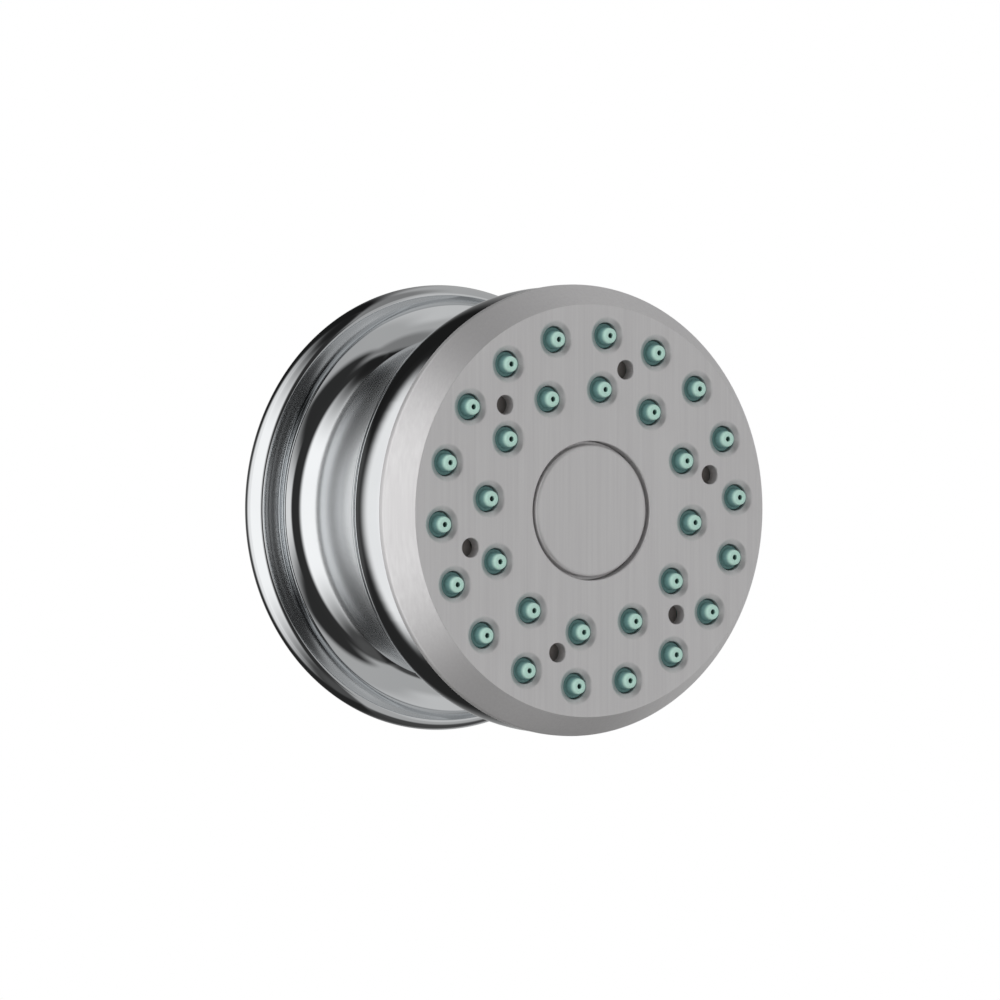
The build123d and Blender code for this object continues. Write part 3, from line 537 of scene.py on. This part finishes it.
def plain_finish(name, shade, grain_size, gloss_range, bump_strength, metallic=0, ior=1.5):
    """Finish of the inner pieces: one colour that varies a little, with a grain."""
    material, tree = new_finish(name)
    smoothest, roughest = gloss_range
    grain_depth = 0.1 * grain_size
    cloud_size = 10 * grain_size
    cloud_shade = [0.8 * part for part in shade]
    place = add(tree, "ShaderNodeTexCoord").outputs["Object"]
    grain = add(tree, "ShaderNodeTexNoise", {"Vector": place, "Scale": 1 / grain_size, "Detail": 3})
    cloud = add(tree, "ShaderNodeTexNoise", {"Vector": place, "Scale": 1 / cloud_size, "Detail": 3})
    tint = add(
        tree,
        "ShaderNodeMix",
        {MIX_FIRST: opaque(shade), MIX_SECOND: opaque(cloud_shade), MIX_FACTOR: cloud.outputs[0]},
        data_type="RGBA",
    )
    gloss = add(
        tree,
        "ShaderNodeMapRange",
        {0: grain.outputs[0], "From Min": 0.3, "From Max": 0.7, "To Min": smoothest, "To Max": roughest},
    )
    bump = add(
        tree,
        "ShaderNodeBump",
        {"Height": grain.outputs[0], "Strength": bump_strength, "Distance": grain_depth},
    )
    shader = add(
        tree,
        "ShaderNodeBsdfPrincipled",
        {
            "Base Color": tint.outputs[MIX_RESULT],
            "Metallic": metallic,
            "Roughness": gloss.outputs[0],
            "IOR": ior,
            "Normal": bump.outputs[0],
        },
    )
    add(tree, "ShaderNodeOutputMaterial", {"Surface": shader.outputs[0]})
    return material


# Shapes

def rounded(corners, steps=8):
    """Section line through corners (radius, depth, rounding), with each rounding drawn as an arc."""
    line = []
    last = len(corners) - 1
    for i, (radius, depth, rounding) in enumerate(corners):
        here = Vector((radius, depth))
        if i in (0, last) or rounding == 0:
            line.append(here)
            continue
        before = (Vector(corners[i - 1][:2]) - here).normalized()
        after = (Vector(corners[i + 1][:2]) - here).normalized()
        half = before.angle(after) / 2
        middle = here + (before + after).normalized() * (rounding / sin(half))
        start = (here + before * (rounding / tan(half)) - middle).normalized()
        end = (here + after * (rounding / tan(half)) - middle).normalized()
        line += [middle + rounding * start.slerp(end, step / steps) for step in range(steps + 1)]
    return line


def arc(middle, radius, start, end, steps):
    """Points of an arc in section from one angle to another."""
    angles = [start + (end - start) * step / steps for step in range(steps + 1)]
    return [(middle[0] + radius * cos(angle), middle[1] + radius * sin(angle)) for angle in angles]


def turned(mesh, line, segments, centre=(0, 0), closed=False):
    """Turns a section line round an axis along Y. A point's radius may be a function of the angle."""
    rings = []
    for radius, depth in line:
        ring = []
        for k in range(segments):
            angle = 2 * pi * k / segments
            reach = radius(angle) if callable(radius) else radius
            ring.append(
                mesh.verts.new((centre[0] + reach * cos(angle), -depth, centre[1] + reach * sin(angle)))
            )
        rings.append(ring)
    pairs = list(zip(rings, rings[1:]))
    if closed:
        pairs.append((rings[-1], rings[0]))
    for near, far in pairs:
        for k in range(segments):
            after = (k + 1) % segments
            mesh.faces.new((near[k], near[after], far[after], far[k]))
    return rings


def drilled_plate(mesh, edges, holes):
    """Flat plate: its turned edges and holes run from its front to its back, and both sides are filled."""
    ends = [turned(mesh, line, segments) for line, segments in edges]
    ends += [turned(mesh, line, segments, centre) for line, segments, centre in holes]
    for side in (0, -1):
        rims = []
        for rings in ends:
            ring = rings[side]
            rims += [mesh.edges.get((vert, after)) for vert, after in zip(ring, ring[1:] + ring[:1])]
        bmesh.ops.triangle_fill(mesh, edges=rims, use_beauty=True)


def new_piece(name, mesh, material, body, node):
    """Makes a piece of a finished mesh that stands for a CAD node."""
    bmesh.ops.recalc_face_normals(mesh, faces=mesh.faces)
    data = bpy.data.meshes.new(name)
    mesh.to_mesh(data)
    mesh.free()
    data.shade_smooth()
    data.set_sharp_from_angle(angle=SHARP_ANGLE)
    data.materials.append(material)
    piece = bpy.data.objects.new(name, data)
    bpy.context.scene.collection.objects.link(piece)
    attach(piece, body)
    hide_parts(node)


def dress(node, material):
    """Gives a CAD node its finish."""
    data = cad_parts[node].data
    data.materials.clear()
    data.materials.append(material)


def ring_places(radius, number, start):
    """Middles of like pieces on a ring, seen from the front."""
    angles = [start + 2 * pi * k / number for k in range(number)]
    return [(radius * cos(angle), radius * sin(angle)) for angle in angles]


def nozzle_places(nozzles):
    """Middles of all nozzles."""
    outer = ring_places(nozzles.outer_radius, nozzles.outer_count, nozzles.pattern_turn)
    inner_start = nozzles.pattern_turn + nozzles.inner_turn
    return outer + ring_places(nozzles.inner_radius, nozzles.inner_count, inner_start)


def vent_places(nozzles):
    """Middles of the round holes between the rings."""
    return ring_places(nozzles.vent_ring, nozzles.vent_count, nozzles.pattern_turn + nozzles.vent_turn)


# Pieces

class BODYJET_OT_chrome(bpy.types.Operator):
    """Build the wall flange with its belled neck, and finish it and the rear shell in bright chrome"""

    bl_idname = "bodyjet.chrome"
    bl_label = "Chrome pieces"

    def execute(self, context):
        sizes = context.scene.bodyjet_flange
        side_steps = 20
        lip_steps = 10
        bell_steps = 28
        wall = -FLANGE_HIGH.y
        neck_end = -FLANGE_LOW.y
        neck_in = sizes.neck_radius - sizes.neck_wall
        lip = FLANGE_HIGH.x - sizes.lip_inset
        lip_base = sizes.lip_depth - sizes.lip_round
        rise = lip_base - sizes.widest_depth
        # The side's arc meets the lip's arc, and that meets the bell's, each without a corner
        side_round = (sizes.lip_inset**2 + rise**2 - sizes.lip_round**2) / 2
        side_round /= sizes.lip_inset - sizes.lip_round
        side = (FLANGE_HIGH.x - side_round, sizes.widest_depth)
        bell_middle = sizes.neck_radius + sizes.bell_round
        bell_depth = lip_base + sqrt((sizes.bell_round + sizes.lip_round) ** 2 - (lip - bell_middle) ** 2)
        lip_start = atan2(rise, lip - side[0])
        lip_end = atan2(bell_depth - lip_base, bell_middle - lip)
        side_line = arc(side, side_round, -sizes.side_turn, lip_start, side_steps)
        turn_radius, turn_depth = side_line[0]
        back_radius = turn_radius - (turn_depth - wall) * tan(sizes.side_turn)
        groove_in = neck_in + sizes.groove_land
        groove_out = groove_in + sizes.groove_width
        web_front = sizes.web_back + sizes.web_thickness
        line = [(back_radius, wall)]
        line += side_line
        line += arc((lip, lip_base), sizes.lip_round, lip_start, lip_end, lip_steps)[1:]
        line += arc((bell_middle, bell_depth), sizes.bell_round, lip_end - pi, -pi, bell_steps)[1:]
        line += rounded(
            [
                (sizes.neck_radius, (bell_depth + neck_end) / 2, 0),
                (sizes.neck_radius, neck_end, sizes.neck_edge),
                (neck_in, neck_end, sizes.neck_edge),
                (neck_in, web_front, sizes.neck_edge),
                (sizes.web_hole, web_front, 0),
                (sizes.web_hole, sizes.web_back, 0),
                (neck_in, sizes.web_back, 0),
                (neck_in, wall, 0),
                (groove_in, wall, 0),
                (groove_in, sizes.groove_floor, 0),
                (groove_out, sizes.groove_floor, 0),
                (groove_out, wall, 0),
            ]
        )
        mesh = bmesh.new()
        turned(mesh, line, FLANGE_SEGMENTS, closed=True)
        # The satin band begins halfway down the bell and ends at the neck's rounded end
        satin_start = bell_depth - sizes.bell_round / 2
        satin_end = neck_end - sizes.neck_edge
        material = chrome_plated_brass(context.scene.bodyjet_colours, satin_start, satin_end)
        new_piece("chrome_flange", mesh, material, "base", "wall_flange")
        dress("rear_shell", material)
        return {"FINISHED"}


class BODYJET_OT_face(bpy.types.Operator):
    """Build the spray face with its dimples and holes, and finish the centre cap to match"""

    bl_idname = "bodyjet.face"
    bl_label = "Spray face"

    def execute(self, context):
        sizes = context.scene.bodyjet_face
        nozzles = context.scene.bodyjet_nozzles
        material = satin_plated_abs(context.scene.bodyjet_colours)
        rim_steps = 10
        head = FACE_HIGH.x
        face = -FACE_LOW.y
        back = face - sizes.plate_thickness
        skirt_back = -FACE_HIGH.y
        skirt_in = head - sizes.skirt_wall
        spigot_in = skirt_in - sizes.spigot_wall
        step = face - sizes.skirt_room
        flat = head - sizes.bevel_width
        cup = CAP_HIGH.x + SLIP
        cup_out = cup + sizes.cup_wall
        plate_front = -PLATE_LOW.y
        cup_top = plate_front + sizes.cup_floor
        seat = cup_top - sizes.seat_depth
        edge = [
            (flat - 4 * MARGIN, face, 0),
            (flat, face, sizes.face_round),
            (head, face - sizes.bevel_drop, sizes.rim_round),
            (head, skirt_back, sizes.skirt_edge),
            (skirt_in, skirt_back, sizes.skirt_inner_edge),
            (skirt_in, step, 0),
            (spigot_in, step, 0),
            (spigot_in, back, 0),
            (spigot_in - MARGIN, back, 0),
        ]
        middle = [
            (cup + 2 * MARGIN, face, 0),
            (cup, face, sizes.cup_edge),
            (cup, cup_top, 0),
            (sizes.screw_seat, cup_top, 0),
            (sizes.screw_seat, seat, 0),
            (sizes.screw_hole, seat, 0),
            (sizes.screw_hole, plate_front, 0),
            (cup_out, plate_front, 0),
            (cup_out, back, 0),
            (cup_out + MARGIN, back, 0),
        ]
        hole = nozzles.base_radius + nozzles.base_gap
        dimple = rounded(
            [
                (nozzles.dimple_radius + MARGIN, face, 0),
                (nozzles.dimple_radius, face, nozzles.dimple_edge),
                (hole, face - nozzles.dimple_depth, nozzles.hole_edge),
                (hole, back, 0),
            ]
        )
        vent = rounded(
            [
                (nozzles.vent_radius + MARGIN, face, 0),
                (nozzles.vent_radius, face, nozzles.hole_edge),
                (nozzles.vent_radius, back, 0),
            ]
        )
        edges = [(rounded(edge, rim_steps), RIM_SEGMENTS), (rounded(middle), CUP_SEGMENTS)]
        holes = [(dimple, DIMPLE_SEGMENTS, place) for place in nozzle_places(nozzles)]
        holes += [(vent, VENT_SEGMENTS, place) for place in vent_places(nozzles)]
        mesh = bmesh.new()
        drilled_plate(mesh, edges, holes)
        new_piece("spray_face", mesh, material, "head", "face_plate")
        dress("centre_cap", material)
        return {"FINISHED"}


class BODYJET_OT_nozzles(bpy.types.Operator):
    """Build the soft nozzles and the sheet that joins them"""

    bl_idname = "bodyjet.nozzles"
    bl_label = "Nozzles"

    def execute(self, context):
        nozzles = context.scene.bodyjet_nozzles
        face = context.scene.bodyjet_face
        material = silicone_rubber(context.scene.bodyjet_colours, nozzles.lit_tip_length)
        nozzle_steps = 6
        tip = -SHEET_LOW.y
        back = -SHEET_HIGH.y
        front = -FACE_LOW.y - face.plate_thickness
        shoulder = tip - nozzles.tip_length
        outside = SHEET_HIGH.x
        inside = CAP_HIGH.x + SLIP + face.cup_wall + face.cup_room
        wide = nozzles.vent_radius + nozzles.vent_room
        nozzle = rounded(
            [
                (nozzles.base_radius, front, 0),
                (nozzles.base_radius, shoulder, nozzles.base_edge),
                (nozzles.tip_base, shoulder, nozzles.base_edge),
                (nozzles.tip_radius, tip, nozzles.tip_edge),
                (nozzles.orifice, tip, nozzles.orifice_edge),
                (nozzles.intake, back, 0),
            ],
            nozzle_steps,
        )
        vent = [(wide, front), (wide, back)]
        edge = [(outside - MARGIN, front), (outside, front), (outside, back), (outside - MARGIN, back)]
        middle = [(inside + MARGIN, front), (inside, front), (inside, back), (inside + MARGIN, back)]
        edges = [(edge, SHEET_SEGMENTS), (middle, SHEET_HOLE_SEGMENTS)]
        holes = [(nozzle, NOZZLE_SEGMENTS, place) for place in nozzle_places(nozzles)]
        holes += [(vent, VENT_SEGMENTS, place) for place in vent_places(nozzles)]
        mesh = bmesh.new()
        drilled_plate(mesh, edges, holes)
        new_piece("nozzle_sheet", mesh, material, "head", "nozzle_membrane")
        return {"FINISHED"}


class BODYJET_OT_fitting(bpy.types.Operator):
    """Build the brass inlet fitting with its cut thread"""

    bl_idname = "bodyjet.fitting"
    bl_label = "Inlet fitting"

    def execute(self, context):
        sizes = context.scene.bodyjet_fitting
        material = machined_brass(context.scene.bodyjet_colours)
        thread_steps = 120
        ball_steps = 32
        start = -FITTING_HIGH.y
        ball_front = -FITTING_LOW.y
        thread_end = -INLET_SEAL_HIGH.y
        seal_seat = -INLET_SEAL_LOW.y
        limiter_end = -LIMITER_LOW.y
        limiter = LIMITER_HIGH.x + SLIP
        seal = INLET_SEAL_HIGH.x + SLIP
        collar_back = -WASHER_LOW.y
        collar = FITTING_HIGH.x
        socket = sizes.thread_radius + sizes.socket_wall
        hex_back = collar_back + sizes.collar_thickness
        hex_front = hex_back + sizes.hexagon_length
        edge = sizes.edge

        def six_sided(width, widest):
            """Radius of a hexagon at an angle, with its corners turned down."""
            return lambda angle: min(widest, width / 2 / cos((angle + pi / 6) % (pi / 3) - pi / 6))

        def thread(depth):
            """Radius of the thread at an angle: rounded V grooves that fade out at both ends."""
            sharpness = 0.96
            fade = min(1, (depth - start) / sizes.thread_pitch, (thread_end - depth) / sizes.thread_pitch)

            def reach(angle):
                phase = 2 * pi * depth / sizes.thread_pitch - angle
                groove = 0.5 - asin(sharpness * cos(phase)) / asin(sharpness) / 2
                return sizes.thread_radius + sizes.thread_depth * groove * max(0, fade)

            return reach

        lead_end = start + sizes.thread_lead
        thread_length = thread_end - lead_end
        threaded = [thread_end - thread_length * k / thread_steps for k in range(1, thread_steps + 1)]
        stem_angle = acos(sizes.stem / sizes.ball)
        flat_angle = asin((ball_front - sizes.ball_depth) / sizes.ball)
        corner = sizes.hexagon / 2 / cos(pi / 6)
        hexagon = six_sided(sizes.hexagon, corner)
        # The key socket's corners stay sharp: no corner reaches out as far as the whole width
        key = six_sided(sizes.key, sizes.key)
        line = [
            (key, ball_front),
            (key, ball_front - sizes.key_length),
            (sizes.water_way, ball_front - sizes.key_length),
            (sizes.water_way, limiter_end),
            (limiter, limiter_end),
            (limiter, seal_seat),
            (seal, seal_seat),
            (seal, thread_end),
            (sizes.thread_radius, thread_end),
        ]
        line += [(thread(depth), depth) for depth in threaded]
        line += [
            (sizes.thread_radius + sizes.thread_lead, start),
            (socket - edge, start),
            (socket, start + edge),
            (socket, collar_back),
            (collar - edge, collar_back),
            (collar, collar_back + edge),
            (collar, hex_back - edge),
            (collar - edge, hex_back),
            (hexagon, hex_back),
            (hexagon, hex_front - 2 * edge),
            (six_sided(sizes.hexagon, corner - 2 * edge), hex_front),
            (socket, hex_front),
            (sizes.stem, hex_front + sizes.cone_length),
        ]
        line += arc((0, sizes.ball_depth), sizes.ball, -stem_angle, flat_angle, ball_steps)
        mesh = bmesh.new()
        turned(mesh, line, FITTING_SEGMENTS, closed=True)
        new_piece("brass_inlet", mesh, material, "base", "inlet_fitting")
        return {"FINISHED"}


class BODYJET_OT_inner(bpy.types.Operator):
    """Finish the seals, screws, plates and rings behind the face and in the inlet"""

    bl_idname = "bodyjet.inner"
    bl_label = "Inner pieces"

    def execute(self, context):
        colours = context.scene.bodyjet_colours
        # Acetal plate from an eroded mould: grey, half matt
        plate = plain_finish(
            "acetal_grey_moulded", colours.plate,
            grain_size=0.3 * MM, gloss_range=(0.4, 0.55), bump_strength=0.15, ior=1.48,
        )
        # Pressed and turned stainless steel: bright, with a fine rolled grain
        steel = plain_finish(
            "stainless_steel_pressed", colours.steel,
            grain_size=0.25 * MM, gloss_range=(0.22, 0.34), bump_strength=0.05, metallic=1,
        )
        # Seal rubber: black, dull, a little dusty
        rubber = plain_finish(
            "epdm_rubber_moulded", colours.rubber,
            grain_size=0.4 * MM, gloss_range=(0.55, 0.75), bump_strength=0.2, ior=1.52,
        )
        # Closed cell foam: dark grey with small open cells on its cut faces
        foam = plain_finish(
            "eva_foam_cut", colours.foam,
            grain_size=0.5 * MM, gloss_range=(0.8, 0.95), bump_strength=0.6, ior=1.45,
        )
        # White acetal: milky and half glossy
        acetal = plain_finish(
            "acetal_white_moulded", colours.acetal,
            grain_size=0.4 * MM, gloss_range=(0.3, 0.42), bump_strength=0.08, ior=1.48,
        )
        # Polypropylene of the limiter: pale, waxy
        limiter = plain_finish(
            "polypropylene_moulded", colours.limiter,
            grain_size=0.4 * MM, gloss_range=(0.35, 0.5), bump_strength=0.1, ior=1.49,
        )
        nodes_by_finish = {
            plate: ("distributor_plate",),
            steel: ("distributor_screws", "centre_screw", "clamp_washer", "filter_screen"),
            rubber: (
                "inlet_seal",
                "ball_seal",
                "face_o_ring",
                "chamber_o_ring",
                "screw_o_ring",
                "regulator_o_ring",
            ),
            foam: ("wall_gasket",),
            acetal: ("ball_seat_ring", "socket_nut"),
            limiter: ("flow_regulator",),
        }
        for material, nodes in nodes_by_finish.items():
            for node in nodes:
                dress(node, material)
        return {"FINISHED"}


# Stage

# Flags and panels in the tent that the metal mirrors, each laid over those before it: name, middle
# azimuth, half width, middle elevation, half height, soft edge across, soft edge upwards, and grey.
# Azimuth 0 is straight in front of the jet and positive to the camera's right, in degrees.
TENT_GREY = 0.42
TENT_PANELS = (
    ("left side, unlit", -100, 80, 0, 100, 30, 10, 0.03),
    ("left panel, far wing", -137, 15, 0, 50, 24, 40, 0.92),
    ("left panel", -92.5, 35.5, 0, 50, 14, 46, 1.08),
    ("above, left", -95, 75, 82, 12, 30, 14, 0.015),
    ("below, left", -100, 75, -82, 14, 30, 16, 0.08),
    ("above, right", 75, 85, 80, 16, 20, 16, 0.22),
    ("below, back right", 130, 35, -62, 26, 30, 20, 0.06),
    ("right, bright strip", 33, 5, 0, 40, 8, 20, 0.58),
    ("backdrop", 135, 26, 0, 14, 20, 14, 0.5),
    ("back, above", 176, 24, 50, 42, 26, 14, 0.012),
    ("back, below", 178, 24, -52, 42, 26, 16, 0.02),
    ("back, level", 184, 12, 0, 12, 14, 8, 0.07),
    ("front, dark", -17, 19, 0, 64, 12, 22, 0.028),
    ("front, light", -14, 13, -1, 13, 6, 22, 0.8),
)


def panel_cover(angle, middle, half, soft):
    """How much a panel covers at an angle: 1 inside, 0 outside, and a smooth edge between."""
    off = abs((angle - middle + 180) % 360 - 180)
    share = min(1, max(0, (half + soft / 2 - off) / soft))
    return share * share * (3 - 2 * share)


def tent_tone(azimuth, elevation):
    """Brightness of the tent in a direction."""
    # The panels' sides run together overhead and underfoot, so their soft edges widen on the tent's small
    # circles, those shorter than a share of the longest one. The least share is for the poles
    small_circle = 0.3
    least_circle = 0.001
    spread = max(1, small_circle / max(least_circle, cos(radians(elevation))))
    tone = TENT_GREY
    for _, middle, half_width, level, half_height, soft_across, soft_upwards, grey in TENT_PANELS:
        across = panel_cover(azimuth, middle, half_width, soft_across * spread)
        upwards = panel_cover(elevation, level, half_height, soft_upwards)
        tone += (grey - tone) * across * upwards
    return tone


def towards(azimuth, elevation):
    """Direction from the jet, by azimuth and elevation in radians."""
    flat = cos(elevation)
    return Vector((sin(azimuth) * flat, -cos(azimuth) * flat, sin(elevation)))


def build_tent(centre, radius):
    """Round tent of white cloth with flags in it, that only mirrors see."""
    columns = 240
    rows = 120
    highest = 89.9
    mesh = bmesh.new()
    tone = mesh.verts.layers.float.new("tone")
    grid = []
    for j in range(rows + 1):
        elevation = highest * (2 * j / rows - 1)
        ring = []
        for i in range(columns):
            azimuth = 360 * i / columns
            vert = mesh.verts.new(centre + radius * towards(radians(azimuth), radians(elevation)))
            vert[tone] = tent_tone(azimuth, elevation)
            ring.append(vert)
        grid.append(ring)
    for low, high in zip(grid, grid[1:]):
        for i in range(columns):
            after = (i + 1) % columns
            mesh.faces.new((low[i], low[after], high[after], high[i]))
    for pole in (grid[0], grid[-1]):
        mesh.faces.new(pole)
    data = bpy.data.meshes.new("tent")
    mesh.to_mesh(data)
    mesh.free()
    material, tree = new_finish("tent_cloth")
    shade = add(tree, "ShaderNodeAttribute", attribute_name="tone")
    glow = add(tree, "ShaderNodeEmission", {"Color": shade.outputs["Color"], "Strength": 1})
    add(tree, "ShaderNodeOutputMaterial", {"Surface": glow.outputs[0]})
    data.materials.append(material)
    tent = bpy.data.objects.new("tent", data)
    tent.visible_camera = False
    tent.visible_diffuse = False
    tent.visible_transmission = False
    tent.visible_shadow = False
    bpy.context.scene.collection.objects.link(tent)


def build_floor(stage, paper_colour):
    """Pale round floor that fades into the white room at its rim."""
    mesh = bmesh.new()
    bmesh.ops.create_circle(mesh, cap_ends=True, radius=stage.floor_radius, segments=128)
    data = bpy.data.meshes.new("floor")
    mesh.to_mesh(data)
    mesh.free()
    material, tree = new_finish("floor_paper")
    place = add(tree, "ShaderNodeTexCoord").outputs["Object"]
    reach = add(tree, "ShaderNodeVectorMath", {0: place}, operation="LENGTH")
    fade = add(
        tree,
        "ShaderNodeMapRange",
        {0: reach.outputs["Value"], "From Min": stage.floor_plain, "From Max": stage.floor_faded},
        interpolation_type="SMOOTHSTEP",
    )
    paper = add(tree, "ShaderNodeBsdfDiffuse", {"Color": opaque(paper_colour)})
    room = add(tree, "ShaderNodeEmission", {"Strength": 1})
    joined = add(
        tree, "ShaderNodeMixShader", {0: fade.outputs[0], 1: paper.outputs[0], 2: room.outputs[0]}
    )
    add(tree, "ShaderNodeOutputMaterial", {"Surface": joined.outputs[0]})
    data.materials.append(material)
    floor = bpy.data.objects.new("floor", data)
    floor.location.z = -stage.floor_drop
    floor.visible_glossy = False
    bpy.context.scene.collection.objects.link(floor)


def build_room(room_light):
    """White room: the camera, mirrors and glass see plain white, and the even light is a little lower."""
    world = bpy.data.worlds.new("white_room")
    world.use_nodes = True
    tree = world.node_tree
    tree.nodes.clear()
    path = add(tree, "ShaderNodeLightPath")
    seen = path.outputs["Is Camera Ray"]
    for ray in ("Is Glossy Ray", "Is Transmission Ray"):
        seen = add(tree, "ShaderNodeMath", {0: seen, 1: path.outputs[ray]}, operation="MAXIMUM").outputs[0]
    strength = add(tree, "ShaderNodeMapRange", {0: seen, "To Min": room_light, "To Max": 1})
    light = add(tree, "ShaderNodeBackground", {"Color": (1, 1, 1, 1), "Strength": strength.outputs[0]})
    add(tree, "ShaderNodeOutputWorld", {"Surface": light.outputs[0]})
    bpy.context.scene.world = world


def build_key_lamp(stage, target):
    """Soft lamp from the left."""
    data = bpy.data.lights.new("key_lamp", "AREA")
    data.shape = "DISK"
    data.size = stage.key_size
    data.energy = stage.key_power
    lamp = bpy.data.objects.new("key_lamp", data)
    out = towards(stage.key_azimuth, stage.key_elevation)
    lamp.location = target + out * stage.key_distance
    lamp.rotation_euler = out.to_track_quat("Z", "Y").to_euler()
    lamp.visible_glossy = False
    bpy.context.scene.collection.objects.link(lamp)


def build_camera(stage, target):
    """Camera at the photo's angle, framed as the photo is."""
    back = towards(stage.azimuth, stage.elevation)
    right = Vector((0, 0, 1)).cross(back).normalized()
    up = back.cross(right)
    data = bpy.data.cameras.new("camera")
    data.sensor_width = stage.sensor
    data.lens = stage.focal
    camera = bpy.data.objects.new("camera", data)
    camera.location = target + back * stage.distance
    aim = target - right * stage.across + up * stage.down
    camera.rotation_euler = (camera.location - aim).to_track_quat("Z", "Y").to_euler()
    bpy.context.scene.collection.objects.link(camera)
    bpy.context.scene.camera = camera


class BODYJET_OT_stage(bpy.types.Operator):
    """Set up the floor, the white room, the tent, the lamp and the camera"""

    bl_idname = "bodyjet.stage"
    bl_label = "Stage"

    def execute(self, context):
        stage = context.scene.bodyjet_stage
        front = Vector((0, SHEET_LOW.y, 0))
        middle = (CAD_BOX[0] + CAD_BOX[1]) / 2
        build_camera(stage, front)
        build_room(stage.room_light)
        build_key_lamp(stage, middle)
        build_tent(middle, stage.tent_radius)
        build_floor(stage, context.scene.bodyjet_colours.paper)
        context.scene.view_settings.view_transform = "Standard"
        return {"FINISHED"}


# Add-on

OPERATORS = (
    BODYJET_OT_chrome,
    BODYJET_OT_face,
    BODYJET_OT_nozzles,
    BODYJET_OT_fitting,
    BODYJET_OT_inner,
    BODYJET_OT_stage,
)

SETTINGS = {
    "bodyjet_flange": BODYJET_PG_flange,
    "bodyjet_face": BODYJET_PG_face,
    "bodyjet_nozzles": BODYJET_PG_nozzles,
    "bodyjet_fitting": BODYJET_PG_fitting,
    "bodyjet_colours": BODYJET_PG_colours,
    "bodyjet_stage": BODYJET_PG_stage,
}


class BODYJET_PT_sidebar(bpy.types.Panel):
    """Lists the steps that dress the body jet, and their settings"""

    bl_idname = "BODYJET_PT_sidebar"
    bl_label = "Body jet"
    bl_space_type = "VIEW_3D"
    bl_region_type = "UI"
    bl_category = "Body jet"

    def draw(self, context):
        for operator in OPERATORS:
            self.layout.operator(operator.bl_idname)
        for name in SETTINGS:
            group = getattr(context.scene, name)
            box = self.layout.box()
            for setting in group.__annotations__:
                box.prop(group, setting)


def register():
    """Registers the settings, the operators and the panel."""
    for name, group in SETTINGS.items():
        bpy.utils.register_class(group)
        setattr(bpy.types.Scene, name, PointerProperty(type=group))
    for operator in OPERATORS:
        bpy.utils.register_class(operator)
    bpy.utils.register_class(BODYJET_PT_sidebar)


def unregister():
    """Takes the panel, the operators and the settings out again."""
    bpy.utils.unregister_class(BODYJET_PT_sidebar)
    for operator in reversed(OPERATORS):
        bpy.utils.unregister_class(operator)
    for name, group in reversed(SETTINGS.items()):
        delattr(bpy.types.Scene, name)
        bpy.utils.unregister_class(group)


def main():
    """Dresses the jet step by step."""
    register()
    for operator in OPERATORS:
        group, step = operator.bl_idname.split(".")
        getattr(getattr(bpy.ops, group), step)()


if __name__ == "__main__":
    main()
